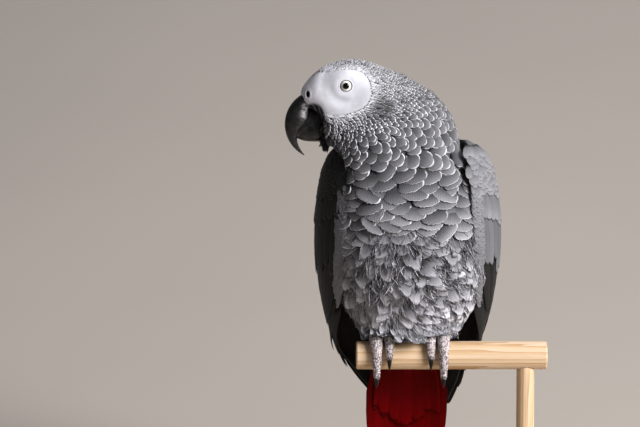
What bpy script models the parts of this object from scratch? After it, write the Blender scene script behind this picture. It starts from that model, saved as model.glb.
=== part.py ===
"""A grey parrot, life size, gripping a short wooden perch on a plain display stand.

Sizes are in millimetres and become metres as each mesh is made. The frame is +Z up, with its
origin at the centre of the stand's underside. The perch runs along X. The bird's breast faces
-Y, and its head is turned to its right, so that the bill points along -X.
Bird coordinates start at the top of the perch, midway between the feet.
"""

import math

import bmesh
import bpy
import numpy as np
from mathutils import Vector

MM = 0.001
GAP = 0.3  # left between two touching pieces
ROOM = 0.4  # left round a piece that is let into the flesh

# Stand
BASE_SIZE = (190.0, 130.0, 14.0)
BASE_CORNER = 12.0
BASE_EDGE = 1.5
PERCH_LENGTH = 128.0
PERCH_RADIUS = 9.5
PERCH_CHAMFER = 0.8
PERCH_TOP = 125.0  # height above the floor
ROD_X = 50.0
ROD_RADIUS = 6.0

# Bird
BIRD_X = -28.0  # midway between the feet
HEAD_Y = -5.0  # the plane that halves the turned head
THROAT = (-58.0, 126.0)  # x and z of the point that the head and neck turn about
HEAD_CUT = 55.0  # degrees, where the neck meets the head
NECK_CUT_Z = 127.0
EYE_X, EYE_Z = -43.2, 171.7
EYE_RADIUS = 6.0
EYE_OUT = 13.0  # centre of each eyeball from the head's own plane

BILL_CENTRE = (-60.8, 146.0)  # x and z of the culmen's arc
BILL_RADIUS = 23.0
BILL_FROM, BILL_TO = 114.0, 244.0
BILL_DEPTHS = (  # degrees along the culmen, and how deep the upper bill is there
    (114, 9.0),
    (125, 11.0),
    (135, 13.0),
    (148, 14.5),
    (165, 15.5),
    (180, 15.0),
    (195, 11.3),
    (207, 7.6),
    (214, 5.4),
    (225, 3.4),
    (236, 1.8),
    (244, 0.6),
)
BILL_HALF_WIDTH = 8.8
BILL_RIDGE = 0.28  # how much narrower the ridge is than the middle of the bill
JAW_CENTRE = (-67.5, 146.5)  # x and z of the middle of the lower bill
JAW_OUTLINE = (  # degrees about that middle, and radius
    (-180, 11.5),
    (-140, 12.4),
    (-110, 12.4),
    (-85, 11.9),
    (-50, 11.6),
    (0, 10.8),
    (50, 11.0),
    (100, 10.5),
    (150, 10.0),
    (180, 11.5),
)
JAW_FRONT, JAW_BACK = (-79, 4.6), (-58, 8.4)  # x, and half width there

FOOT_X = 18.3  # each foot's centre from the bird's middle
TOE_SPREAD = 4.6


def clear_scene():
    for item in list(bpy.data.objects):
        bpy.data.objects.remove(item)


# ---------------------------------------------------------------- curves and lofts


def through(keys, at):
    """A smooth curve through keys, an array of rows (position, value, ...), read at positions."""
    keys = np.array(sorted(keys), float)
    x, y = keys[:, 0], keys[:, 1:]
    at = np.clip(np.asarray(at, float), x[0], x[-1])
    slope = np.diff(y, axis=0) / np.diff(x)[:, None]
    tangent = np.empty_like(y)
    tangent[0], tangent[-1] = slope[0], slope[-1]
    tangent[1:-1] = (slope[:-1] + slope[1:]) / 2
    i = np.clip(np.searchsorted(x, at, "right") - 1, 0, len(x) - 2)
    h = x[i + 1] - x[i]
    t = ((at - x[i]) / h)[:, None]
    h = h[:, None]
    return (
        (2 * t**3 - 3 * t**2 + 1) * y[i]
        + (t**3 - 2 * t**2 + t) * h * tangent[i]
        + (3 * t**2 - 2 * t**3) * y[i + 1]
        + (t**3 - t**2) * h * tangent[i + 1]
    )


def rounded(value, squareness):
    """A cosine or a sine, pushed outwards so that a circle becomes a fuller oval."""
    return np.sign(value) * np.abs(value) ** (2.0 / squareness)


def loft(rings):
    """Points and faces of a closed body from rings of points, with a fan at each end."""
    rings = np.asarray(rings, float)
    count, around = rings.shape[:2]
    points = [tuple(p) for ring in rings for p in ring]
    faces = []
    for j in range(count - 1):
        for i in range(around):
            a, b = j * around + i, j * around + (i + 1) % around
            faces.append((a, b, b + around, a + around))
    for j in (0, count - 1):
        points.append(tuple(rings[j].mean(axis=0)))
        end = len(points) - 1
        for i in range(around):
            faces.append((j * around + i, j * around + (i + 1) % around, end))
    return points, faces


def shell(outer, inner):
    """Points and faces of a thin closed body between two grids of the same size."""
    rows, columns = outer.shape[:2]
    points = [tuple(p) for p in np.concatenate([outer, inner]).reshape(-1, 3)]
    under = rows * columns
    faces = []
    for j in range(rows - 1):
        for i in range(columns - 1):
            a = j * columns + i
            quad = (a, a + 1, a + columns + 1, a + columns)
            faces.append(quad)
            faces.append(tuple(k + under for k in reversed(quad)))
    rim = [j * columns for j in range(rows)]
    rim += [(rows - 1) * columns + i for i in range(1, columns)]
    rim += [j * columns + columns - 1 for j in range(rows - 2, -1, -1)]
    rim += [i for i in range(columns - 2, 0, -1)]
    for a, b in zip(rim, rim[1:] + rim[:1]):
        faces.append((a, b, b + under, a + under))
    return points, faces


def place(points, at_bird=True):
    """Millimetres to metres, from bird coordinates to the part's own frame."""
    points = np.array(points, float).reshape(-1, 3)
    if at_bird:
        points = points + (BIRD_X, 0.0, PERCH_TOP)
    return points * MM


def body(name, points, faces, material=None, at_bird=True):
    """A named object from points and faces, with its faces pointing out."""
    mesh = bpy.data.meshes.new(name)
    mesh.from_pydata([tuple(p) for p in place(points, at_bird)], [], faces)
    tidy = bmesh.new()
    tidy.from_mesh(mesh)
    bmesh.ops.remove_doubles(tidy, verts=tidy.verts, dist=0.01 * MM)
    bmesh.ops.recalc_face_normals(tidy, faces=tidy.faces)
    bmesh.ops.triangulate(tidy, faces=tidy.faces)
    tidy.to_mesh(mesh)
    tidy.free()
    made = bpy.data.objects.new(name, mesh)
    bpy.context.scene.collection.objects.link(made)
    if material:
        mesh.materials.append(material)
    return made


def tube(path, radii, around, flatten=1.0):
    """Rings of a tube along a path, with the tube's width along X and its thickness across."""
    path, radii = np.asarray(path, float), np.asarray(radii, float)
    ahead = np.gradient(path, axis=0)
    ahead /= np.linalg.norm(ahead, axis=1)[:, None]
    side = np.array((1.0, 0.0, 0.0)) - ahead * ahead[:, :1]
    side /= np.linalg.norm(side, axis=1)[:, None]
    up = np.cross(side, ahead)
    turn = np.linspace(0, 2 * math.pi, around, endpoint=False)
    ring = np.cos(turn)[None, :, None] * side[:, None] * flatten
    ring = ring + np.sin(turn)[None, :, None] * up[:, None]
    return path[:, None] + ring * radii[:, None, None]


# ---------------------------------------------------------------- modifiers


def applied(item):
    """Bakes the object's modifiers into its mesh."""
    graph = bpy.context.evaluated_depsgraph_get()
    mesh = bpy.data.meshes.new_from_object(item.evaluated_get(graph))
    item.modifiers.clear()
    item.data = mesh
    return item


def boolean(item, other, operation):
    """Joins other to item or cuts it out of item, and removes other."""
    change = item.modifiers.new(operation.lower(), "BOOLEAN")
    change.operation = operation
    change.object = other
    applied(item)
    bpy.data.objects.remove(other)
    return item


def swollen(item, spare):
    """A copy of item, pushed out by spare all round, to cut the room that item needs."""
    tidy = bmesh.new()
    tidy.from_mesh(item.data)
    tidy.normal_update()
    moves = [v.normal * min(v.calc_shell_factor(), 2.0) * spare * MM for v in tidy.verts]
    for vertex, move in zip(tidy.verts, moves):
        vertex.co += move
    mesh = bpy.data.meshes.new("swollen")
    tidy.to_mesh(mesh)
    tidy.free()
    made = bpy.data.objects.new("swollen", mesh)
    bpy.context.scene.collection.objects.link(made)
    return made


def joined(items, name):
    """Several meshes as one object, whose shells may still cross."""
    tidy = bmesh.new()
    for item in items:
        tidy.from_mesh(item.data)
        bpy.data.objects.remove(item)
    mesh = bpy.data.meshes.new(name)
    tidy.to_mesh(mesh)
    tidy.free()
    made = bpy.data.objects.new(name, mesh)
    bpy.context.scene.collection.objects.link(made)
    return made


def drop_crumbs(tidy):
    """Deletes the small loose bodies that cuts leave behind, and keeps the largest."""
    left = set(tidy.verts)
    bodies = []
    while left:
        found = [left.pop()]
        for vertex in found:
            near = [edge.other_vert(vertex) for edge in vertex.link_edges]
            fresh = [other for other in near if other in left]
            left.difference_update(fresh)
            found.extend(fresh)
        bodies.append(found)
    bodies.sort(key=len)
    for crumb in bodies[:-1]:
        bmesh.ops.delete(tidy, geom=crumb, context="VERTS")


def half(item, name, point, normal, material):
    """A new object from the part of item that lies on the side that normal points to."""
    tidy = bmesh.new()
    tidy.from_mesh(item.data)
    bmesh.ops.bisect_plane(
        tidy,
        geom=tidy.verts[:] + tidy.edges[:] + tidy.faces[:],
        dist=1e-6,
        plane_co=Vector(place([point])[0]),
        plane_no=Vector(normal),
        clear_inner=True,
    )
    drop_crumbs(tidy)
    rim = [edge for edge in tidy.edges if edge.is_boundary]
    bmesh.ops.triangle_fill(tidy, edges=rim, use_beauty=True)
    bmesh.ops.recalc_face_normals(tidy, faces=tidy.faces)
    mesh = bpy.data.meshes.new(name)
    tidy.to_mesh(mesh)
    tidy.free()
    mesh.materials.clear()
    mesh.materials.append(material)
    made = bpy.data.objects.new(name, mesh)
    bpy.context.scene.collection.objects.link(made)
    return made


def smooth(item, angle=40.0):
    item.data.shade_smooth()
    item.data.set_sharp_from_angle(angle=math.radians(angle))
    return item


def paint(name, colour, roughness, metallic=0.0):
    material = bpy.data.materials.new(name)
    material.use_nodes = True
    shader = material.node_tree.nodes["Principled BSDF"]
    shader.inputs["Base Color"].default_value = (*colour, 1.0)
    shader.inputs["Roughness"].default_value = roughness
    shader.inputs["Metallic"].default_value = metallic
    return material


# ---------------------------------------------------------------- head and neck


def head_and_neck():
    """One body swept about the throat, from the cere over the crown and nape to the shoulders.

    Each row: degrees, outer radius, inner radius, half width, y of the middle.
    """
    keys = (
        (113, 42.0, 32.0, 9.2, HEAD_Y),
        (107, 47.0, 31.5, 11.2, HEAD_Y),
        (100, 51.8, 28.0, 14.0, HEAD_Y),
        (95, 55.8, 24.5, 15.8, HEAD_Y),
        (91, 58.4, 18.0, 16.8, HEAD_Y),
        (86, 61.0, 8.0, 17.8, HEAD_Y),
        (78, 64.6, 3.0, 19.4, HEAD_Y),
        (70, 67.8, 2.0, 20.5, HEAD_Y),
        (54, 71.0, 1.0, 24.0, -4.0),
        (38, 78.5, 1.0, 29.0, -2.5),
        (22, 87.5, 1.0, 33.5, -1.5),
        (8, 91.0, 2.0, 36.0, -1.0),
        (-6, 91.0, 3.0, 37.0, -0.5),
    )
    degrees = np.linspace(113, -6, 28)
    outer, inner, width, middle = through(keys, degrees).T
    turn = np.linspace(0, 2 * math.pi, 30, endpoint=False)
    along, across = np.cos(turn), np.sin(turn)
    radial = (outer + inner)[:, None] / 2 + (outer - inner)[:, None] / 2 * along
    lateral = middle[:, None] + width[:, None] * rounded(across, 2.2) * (1 - 0.14 * along)
    angle = np.radians(degrees)[:, None]
    rings = np.stack(
        [THROAT[0] + radial * np.cos(angle), lateral, THROAT[1] + radial * np.sin(angle)], 2
    )
    return body("head_and_neck", *loft(rings))


# ---------------------------------------------------------------- trunk


def level_rings(keys, levels, around, squareness=2.3):
    """Horizontal ovals. Each key: z, x and y of the middle, half width, front and back reach."""
    x, y, width, front, back = through(keys, levels).T
    turn = np.linspace(0, 2 * math.pi, around, endpoint=False)
    across, along = rounded(np.cos(turn), squareness), rounded(np.sin(turn), squareness)
    reach = np.where(along[None] > 0, back[:, None], front[:, None])
    rings = np.stack(
        [
            x[:, None] + width[:, None] * across,
            y[:, None] + reach * along,
            np.repeat(np.asarray(levels)[:, None], around, 1),
        ],
        2,
    )
    return rings


def trunk():
    keys = (
        (146, -14, -1, 20, 18, 16),
        (138, -13, -1, 37, 31, 27),
        (124, -9, 0, 46, 39, 35),
        (104, -5, 2, 52, 45, 41),
        (82, -2, 4, 55, 49, 44),
        (60, -1, 7, 54, 49, 44),
        (40, 0, 11, 50, 46, 40),
        (24, 0, 12, 43, 38, 34),
        (12, 0, 9, 33, 26, 26),
        (6, 0, 6, 24, 16, 18),
        (2.5, 0, 5, 12, 8, 9),
    )
    levels = np.concatenate([np.linspace(146, 24, 20), np.linspace(20, 2.5, 7)])
    return body("trunk_mass", *loft(level_rings(keys, levels, 36)))


def rump():
    """The lower back and the feathers over and under the root of the tail, behind the perch."""
    keys = (
        (62, 0, 26, 34, 26, 26),
        (40, 0, 32, 33, 22, 23),
        (20, 0, 37, 30, 17, 19),
        (0, 0, 44, 27, 15, 15),
        (-18, 0, 49, 23, 10, 12),
        (-30, 0, 54, 18, 5, 8),
    )
    levels = np.linspace(62, -30, 14)
    return body("rump_mass", *loft(level_rings(keys, levels, 28)))


# ---------------------------------------------------------------- wings


WING_KEYS = (
    # z, x and y of the middle, half width, front and back reach, first and last degree, thickness
    (136, -1.3, 4, 40, 22, 18, -16, 34, 5.5),
    (131, -1.3, 4, 48.5, 30, 25, -34, 46, 7.5),
    (120, -1.3, 5, 56, 42, 31, -44, 60, 8.5),
    (102, -1.3, 7, 60.5, 49, 38, -47, 76, 8.0),
    (80, -1.3, 9, 63, 52, 42, -46, 87, 7.0),
    (60, -1.3, 12, 62.8, 50, 42, -42, 89, 6.0),
    (40, -1.3, 17, 60.8, 44, 40, -35, 89, 5.2),
    (20, -1.0, 24, 57.3, 36, 35, -24, 88, 4.4),
    (-4, -0.6, 33, 51.0, 24, 29, -10, 86, 3.4),
    (-26, 0.6, 45, 43.8, 12, 20, 0, 82, 2.6),
    (-36, 3.0, 52, 38.0, 8, 14, 3, 76, 2.2),
    (-44, 5.3, 58, 31.5, 6, 9, 5, 66, 1.9),
    (-54, 9.0, 65, 23.5, 4, 5, 8, 36, 1.5),
)
WING_TOP, WING_TIP = 136.0, -54.0
WING_BULGE = 14.0  # how far out the flesh over a wing is cleared away
PRIMARY_CUT = (50.0, 14.0)  # distance from the middle, and height, of the break above the primaries
PRIMARY_LEAN = 0.35


def wing_grid(side, rows=18, columns=9):
    """Points and outward directions of one folded wing's outer face, and its thickness.

    side is 1 for the bird's left and -1 for its right.
    """
    levels = np.linspace(WING_TOP, WING_TIP, rows)
    x, y, width, front, back, first, last, thick = through(WING_KEYS, levels).T
    across = np.linspace(-1, 1, columns)
    phi = np.radians((first + last)[:, None] / 2 + (last - first)[:, None] / 2 * across)
    cos, sin = rounded(np.cos(phi), 2.15), rounded(np.sin(phi), 2.15)
    reach = np.where(sin > 0, back[:, None], front[:, None])
    outward = np.stack([np.cos(phi) / width[:, None], np.sin(phi) / reach, 0 * phi], 2)
    outward /= np.linalg.norm(outward, axis=2)[:, :, None]
    face = [width[:, None] * cos, y[:, None] + reach * sin, levels[:, None] + 0 * phi]
    depth = thick[:, None] * (0.25 + 0.75 * np.sqrt(1 - np.abs(across) ** 3))
    face, turned = np.stack(face, 2), np.array((side, 1, 1))
    middle = np.stack([x, 0 * x, 0 * x], 1)[:, None]
    return middle + face * turned, outward * turned, depth[:, :, None]


def wing(side, bulge=0.0):
    """One wing. A bulge carries its outer face outwards, to cut away all that lies over it."""
    face, outward, depth = wing_grid(side)
    under = 0.5 if bulge else 1.0
    return body("wing_mass", *shell(face + outward * bulge, face - outward * depth * under))


# ---------------------------------------------------------------- tail


TAIL_TOP, TAIL_TIP = -12.0, -88.0
TAIL_SLOPE = 0.43  # how far back the tail goes for each millimetre down
TAIL_X, TAIL_Y = 0.8, 41.0


def tail(name, material=None, spare=0.0):
    """The closed fan of twelve feathers as one arched blade with a rounded end."""
    keys = (
        # z, half width, thickness
        (TAIL_TOP, 18.0, 5.0),
        (-30, 24.8, 4.2),
        (-55, 28.0, 3.2),
        (-74, 28.0, 2.2),
        (TAIL_TIP, 25.2, 1.4),
    )
    down = np.linspace(TAIL_TOP, TAIL_TIP, 9)
    width, thick = through(keys, down).T
    across = np.linspace(-1, 1, 9)
    # The outer feathers are a little shorter, which rounds the end.
    share = (TAIL_TOP - down) / (TAIL_TOP - TAIL_TIP)
    z = down[:, None] + 13.0 * share[:, None] ** 3 * np.abs(across) ** 2.5
    x = TAIL_X + (width[:, None] + spare) * across
    y = TAIL_Y + TAIL_SLOPE * (TAIL_TOP - z) - 5.0 * across**2
    depth = thick[:, None] * (1 - 0.55 * across**2) / 2 + spare
    z = z + spare * np.linspace(1, -1, len(down))[:, None]
    front = np.stack([x, y - depth, z], 2)
    back = np.stack([x, y + depth, z], 2)
    return body(name, *shell(front, back), material)


# ---------------------------------------------------------------- legs


def thigh(name, side, material=None, spare=0.0):
    """The feathered lower thigh, which narrows down to the foot."""
    keys = (
        (31, side * 19, 2, 9, 8, 8),
        (27, side * 19, 2, 13, 12, 12),
        (18, side * 18.6, 1, 13, 12, 12),
        (10.5, side * FOOT_X, 0.5, 9.5, 9, 9),
    )
    levels = np.linspace(31, 10.5, 6)
    rings = level_rings(keys, levels, 12, 2.0)
    if spare:
        middle = rings.mean(axis=1, keepdims=True)
        arm = rings - middle
        arm *= 1 + spare / np.linalg.norm(arm, axis=2, keepdims=True)
        rings = middle + arm
        rings[0, :, 2] += spare
        rings[-1, :, 2] -= 6.0 * spare
    return body(name, *loft(rings), material)


def toe_path(side, spread, straight, back, thick, tip):
    """The toe's middle line: an arc over the perch and then a straight run down its front."""
    angle = np.radians(np.linspace(4, 92, 6))
    x = side * (FOOT_X + spread * np.linspace(0.55, 1, 6))
    radius = PERCH_RADIUS + ROOM + np.linspace(thick, tip, 6)
    arc = np.stack([x, -radius * np.sin(angle), radius * np.cos(angle) - PERCH_RADIUS], 1)
    step = np.array((0, 0.02, -0.5)) * straight
    points = np.concatenate([arc, [arc[-1] + step, arc[-1] + 2 * step]])
    return points * (1, -1 if back else 1, 1)


def toe(side, spread, straight, back, thick, tip):
    """A toe's line and its radii, from the pad of the foot to the root of its claw."""
    path = toe_path(side, spread, straight, back, thick, tip)
    share = np.linspace(0, 1, len(path))
    joints = 1 + 0.05 * np.cos(share * 6 * math.pi)
    return path, (thick + (tip - thick) * share) * joints


TOES = (
    # name, sideways from the foot's middle, straight part, back, radius at root and tip, claw
    ("outer_front", TOE_SPREAD, 9.0, False, 4.2, 2.7, 12.0),
    ("inner_front", -TOE_SPREAD, 1.0, False, 3.6, 2.3, 9.0),
    ("outer_back", TOE_SPREAD + 1.0, 5.0, True, 4.0, 2.6, 11.0),
    ("inner_back", -TOE_SPREAD, 1.0, True, 3.4, 2.3, 8.5),
)


def claw(name, path, radius, length, back, material):
    """A curved cone that carries on from the toe and bends in under the perch."""
    ahead = path[-1] - path[-2]
    ahead /= np.linalg.norm(ahead)
    start = path[-1] + ahead * GAP
    inward = np.array((0.0, -1.0 if back else 1.0, 0.0))
    share = np.linspace(0, 1, 6)
    bend = np.radians(30) * share
    step = length / 5
    points = [start]
    for angle in bend[1:]:
        points.append(points[-1] + step * (ahead * math.cos(angle) + inward * math.sin(angle)))
    radii = 0.92 * radius * (1 - share**1.25 * 0.93)
    return smooth(body(name, *loft(tube(points, radii, 6, 0.85)), material))


def foot(name, side):
    """The tarsus, the pad and four toes as one body."""
    stub = np.linspace((0, 0, 10.2), (0, 0, 3.6), 3) + (side * FOOT_X, 0.5, 0)
    radii = np.array((4.9, 4.6, 4.8))
    pieces = [body("tarsus", *loft(tube(stub, radii, 8)))]
    pad = np.array([(side * (FOOT_X + s), 0.0, 4.55) for s in np.linspace(-6.2, 6.2, 5)])
    turn = np.linspace(0, 2 * math.pi, 8, endpoint=False)
    size = 4.0 * np.sqrt(1 - np.linspace(-0.93, 0.93, 5) ** 2)
    ring = np.stack([0 * turn, np.cos(turn) * 1.25, np.sin(turn)], 1)
    pieces.append(body("pad", *loft(pad[:, None] + ring * size[:, None, None])))
    for label, spread, straight, back, thick, tip, _ in TOES:
        path, radii = toe(side, spread, straight, back, thick, tip)
        pieces.append(body(label, *loft(tube(path, radii, 6))))
    whole = pieces[0]
    for piece in pieces[1:]:
        boolean(whole, piece, "UNION")
    whole.name = name
    return whole


def foot_hollow(side):
    """The room that a foot takes up under the belly: one wide arch over the perch."""
    reach = PERCH_RADIUS + 4.8
    half_height = 5.6
    turn = np.radians(np.linspace(-95, 95, 7))
    arc = np.stack([0 * turn, reach * np.sin(turn), reach * np.cos(turn)], 1)
    rings = tube(arc, np.full(7, half_height), 8) * (2, 1, 1)
    return body("hollow", *loft(rings + (side * (FOOT_X + 0.5), 0, -PERCH_RADIUS)))


def claws(side, word, horn):
    for label, spread, straight, back, thick, tip, length in TOES:
        path, _ = toe(side, spread, straight, back, thick, tip)
        claw(f"claw_{word}_{label}", path, tip, length, back, horn)


# ---------------------------------------------------------------- bill and eyes


def upper_bill(name, material=None, spare=0.0):
    """An oval swept along the culmen's arc, narrower on the ridge and tapering to the hook."""
    share = np.linspace(0, 1, 13)
    degrees = BILL_FROM + (BILL_TO - BILL_FROM) * share
    depth = through(BILL_DEPTHS, degrees)[:, 0]
    width = BILL_HALF_WIDTH * (1 - share**1.8) + 0.3 + spare
    turn = np.linspace(0, 2 * math.pi, 14, endpoint=False)
    along, across = np.cos(turn), np.sin(turn)
    half_depth = depth / 2 + spare
    middle = BILL_RADIUS - depth / 2
    radial = middle[:, None] + half_depth[:, None] * rounded(along, 2.2)
    lateral = width[:, None] * rounded(across, 2.3) * (1 - BILL_RIDGE * along)
    angle = np.radians(degrees)[:, None]
    x = BILL_CENTRE[0] + radial * np.cos(angle)
    z = BILL_CENTRE[1] + radial * np.sin(angle)
    return body(name, *loft(np.stack([x, HEAD_Y + lateral, z], 2)), material)


def lower_bill(name, material=None, spare=0.0):
    """A rounded dish that stands on edge in the head's plane, thickest at the back."""
    degrees = np.linspace(-180, 180, 22, endpoint=False)
    outline = through(JAW_OUTLINE, degrees)[:, 0] + spare
    rising = np.array((0.45, 0.78, 0.94))
    share = np.concatenate([rising, [1.0], rising[::-1]])  # from the middle out, and back
    side = np.array([1] * 3 + [0] + [-1] * 3)
    angle = np.radians(degrees)
    x = JAW_CENTRE[0] + share[:, None] * outline * np.cos(angle)
    z = JAW_CENTRE[1] + share[:, None] * outline * np.sin(angle)
    (front_x, front_width), (back_x, back_width) = JAW_FRONT, JAW_BACK
    width = np.interp(x, (front_x, back_x), (front_width, back_width)) + spare
    y = HEAD_Y + width * (side * (1 - share**3) ** (1 / 3))[:, None]
    return body(name, *loft(np.stack([x, y, z], 2)), material)


def eyeball(name, side, radius, material=None):
    """A ball. The head is turned, so that its left eye (side 1) faces -Y."""
    rows = np.linspace(0, math.pi, 9)[1:-1]
    turn = np.linspace(0, 2 * math.pi, 12, endpoint=False)
    ring = np.stack([np.cos(turn), 0 * turn, np.sin(turn)], 1)
    rings = [radius * (math.sin(row) * ring + (0, math.cos(row), 0)) for row in rows]
    return body(name, *loft(np.array(rings) + (EYE_X, HEAD_Y - side * EYE_OUT, EYE_Z)), material)


# ---------------------------------------------------------------- stand


def base_plate(wood):
    """A flat plate with rounded corners and a small bevel along its upper and lower edges."""
    size_x, size_y, height = BASE_SIZE
    outline = []
    for quarter, (sx, sy) in enumerate(((1, 1), (-1, 1), (-1, -1), (1, -1))):
        for turn in np.linspace(0, math.pi / 2, 5):
            angle = quarter * math.pi / 2 + turn
            x = sx * (size_x / 2 - BASE_CORNER) + BASE_CORNER * math.cos(angle)
            y = sy * (size_y / 2 - BASE_CORNER) + BASE_CORNER * math.sin(angle)
            outline.append((x, y, 0.0))
    outline = np.array(outline)
    levels = ((BASE_EDGE, 0), (0, BASE_EDGE), (0, height - BASE_EDGE), (BASE_EDGE, height))
    rings = []
    for inset, z in levels:
        shrink = (1 - 2 * inset / size_x, 1 - 2 * inset / size_y, 1)
        rings.append(outline * shrink + (0, 0, z))
    return body("stand_base", *loft(rings), wood, at_bird=False)


def perch(name, spare=0.0, material=None):
    """A round bar along X with a small chamfer at each end."""
    turn = np.linspace(0, 2 * math.pi, 28, endpoint=False)
    circle = np.stack([0 * turn, np.cos(turn), np.sin(turn)], 1)
    half_length = PERCH_LENGTH / 2
    ends = ((-half_length, PERCH_CHAMFER), (PERCH_CHAMFER - half_length, 0))
    ends += ((half_length - PERCH_CHAMFER, 0), (half_length, PERCH_CHAMFER))
    middle_z = PERCH_TOP - PERCH_RADIUS
    rings = [circle * (PERCH_RADIUS + spare - inset) + (x, 0, middle_z) for x, inset in ends]
    return body(name, *loft(rings), material, at_bird=False)


def stand(wood):
    """The base plate, one upright rod, and the length of perch that the rod carries."""
    turn = np.linspace(0, 2 * math.pi, 20, endpoint=False)
    circle = np.stack([np.cos(turn), np.sin(turn), 0 * turn], 1) * ROD_RADIUS
    levels = (BASE_SIZE[2] + GAP, PERCH_TOP - PERCH_RADIUS)
    rings = [circle + (ROD_X, 0, z) for z in levels]
    rod = body("stand_rod", *loft(rings), wood, at_bird=False)
    boolean(rod, perch("perch_cutter", spare=GAP), "DIFFERENCE")
    for item in (base_plate(wood), perch("perch", material=wood), rod):
        smooth(item, 35)


# ---------------------------------------------------------------- the whole bird


def flesh_mass():
    """Head, neck, trunk and rump as one smooth closed body, before anything is cut from it."""
    flesh = joined([head_and_neck(), trunk(), rump()], "flesh")
    one_skin = flesh.modifiers.new("one skin", "REMESH")
    one_skin.mode = "VOXEL"
    one_skin.voxel_size = 2.0 * MM
    applied(flesh)
    soften = flesh.modifiers.new("soften", "SMOOTH")
    soften.factor = 0.5
    soften.iterations = 6
    fewer = flesh.modifiers.new("fewer", "DECIMATE")
    fewer.ratio = 0.031
    return applied(flesh)


def add_wing(flesh, side, word, coverts, quills):
    """One wing in two lengths, and the room for it cut from the flesh."""
    boolean(flesh, wing(side, bulge=WING_BULGE), "DIFFERENCE")
    whole = wing(side)
    boolean(flesh, swollen(whole, ROOM), "DIFFERENCE")
    lean = np.array((side * PRIMARY_LEAN, 0, 1))
    lean /= np.linalg.norm(lean)
    middle = np.array((side * PRIMARY_CUT[0], 0, PRIMARY_CUT[1]))
    smooth(half(whole, f"wing_{word}", middle + lean * GAP / 2, lean, coverts), 50)
    smooth(half(whole, f"primaries_{word}", middle - lean * GAP / 2, -lean, quills), 50)
    bpy.data.objects.remove(whole)


def add_leg(flesh, side, word, feather, scale, horn):
    """Thigh, foot and claws, and the room for them cut from the flesh."""
    boolean(flesh, thigh("thigh_cutter", side, spare=ROOM), "DIFFERENCE")
    boolean(flesh, foot_hollow(side), "DIFFERENCE")
    smooth(thigh(f"thigh_{word}", side, feather), 60)
    made = foot(f"foot_{word}", side)
    made.data.materials.append(scale)
    smooth(made, 50)
    claws(side, word, horn)


def add_bill(flesh, horn):
    for bill in (upper_bill, lower_bill):
        boolean(flesh, bill("bill_cutter", spare=ROOM), "DIFFERENCE")
    smooth(upper_bill("bill_upper", horn), 50)
    jaw = lower_bill("bill_lower", horn)
    smooth(boolean(jaw, upper_bill("bill_cutter", spare=ROOM), "DIFFERENCE"), 50)


def part_flesh(flesh, pale, grey):
    """Head, neck and trunk, parted by one slanted and one level cut."""
    turned = math.radians(HEAD_CUT)
    up_head = np.array((-math.sin(turned), 0, math.cos(turned)))
    throat = np.array((THROAT[0], 0, THROAT[1]))
    smooth(half(flesh, "head", throat + up_head * GAP / 2, up_head, pale), 60)
    below = half(flesh, "below_head", throat - up_head * GAP / 2, -up_head, grey)
    up = np.array((0, 0, 1))
    level = up * NECK_CUT_Z
    smooth(half(below, "neck", level + up * GAP / 2, up, grey), 60)
    smooth(half(below, "trunk", level - up * GAP / 2, -up, grey), 60)
    for spent in (below, flesh):
        bpy.data.objects.remove(spent)


def main():
    clear_scene()
    grey = paint("grey_feather", (0.28, 0.28, 0.31), 0.8)
    pale = paint("face_feather", (0.62, 0.62, 0.65), 0.8)
    dark = paint("flight_feather", (0.09, 0.09, 0.10), 0.7)
    red = paint("tail_feather", (0.32, 0.015, 0.015), 0.7)
    horn = paint("black_horn", (0.012, 0.011, 0.012), 0.35)
    scale = paint("foot_scale", (0.36, 0.32, 0.33), 0.6)
    iris = paint("eye", (0.62, 0.60, 0.45), 0.1)
    wood = paint("pine", (0.72, 0.52, 0.33), 0.5)

    stand(wood)
    flesh = flesh_mass()
    for side, word in ((1, "left"), (-1, "right")):
        add_wing(flesh, side, word, grey, dark)
        add_leg(flesh, side, word, grey, scale, horn)
        boolean(flesh, eyeball("socket", side, EYE_RADIUS + GAP), "DIFFERENCE")
        smooth(eyeball(f"eye_{word}", side, EYE_RADIUS, iris), 60)
    boolean(flesh, tail("tail_cutter", spare=ROOM), "DIFFERENCE")
    smooth(tail("tail", red), 50)
    add_bill(flesh, horn)
    part_flesh(flesh, pale, grey)


main()
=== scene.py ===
import functools
import math

import bmesh
import bpy
import numpy as np
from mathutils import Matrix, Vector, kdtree


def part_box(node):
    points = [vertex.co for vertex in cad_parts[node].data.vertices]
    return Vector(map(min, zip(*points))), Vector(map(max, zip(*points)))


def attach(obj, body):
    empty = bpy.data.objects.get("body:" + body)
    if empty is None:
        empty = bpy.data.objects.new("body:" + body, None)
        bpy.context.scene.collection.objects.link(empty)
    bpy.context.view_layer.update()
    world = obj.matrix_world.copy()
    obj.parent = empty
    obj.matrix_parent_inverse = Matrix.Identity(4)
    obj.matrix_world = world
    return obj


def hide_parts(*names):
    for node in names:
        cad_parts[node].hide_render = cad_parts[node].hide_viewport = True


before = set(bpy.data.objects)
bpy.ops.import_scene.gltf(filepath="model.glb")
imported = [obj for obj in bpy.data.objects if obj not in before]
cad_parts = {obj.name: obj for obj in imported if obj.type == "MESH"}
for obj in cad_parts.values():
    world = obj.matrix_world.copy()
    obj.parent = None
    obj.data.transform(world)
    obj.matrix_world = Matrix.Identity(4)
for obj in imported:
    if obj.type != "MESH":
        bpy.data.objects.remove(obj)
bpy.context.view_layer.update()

mm = 0.001

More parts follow.
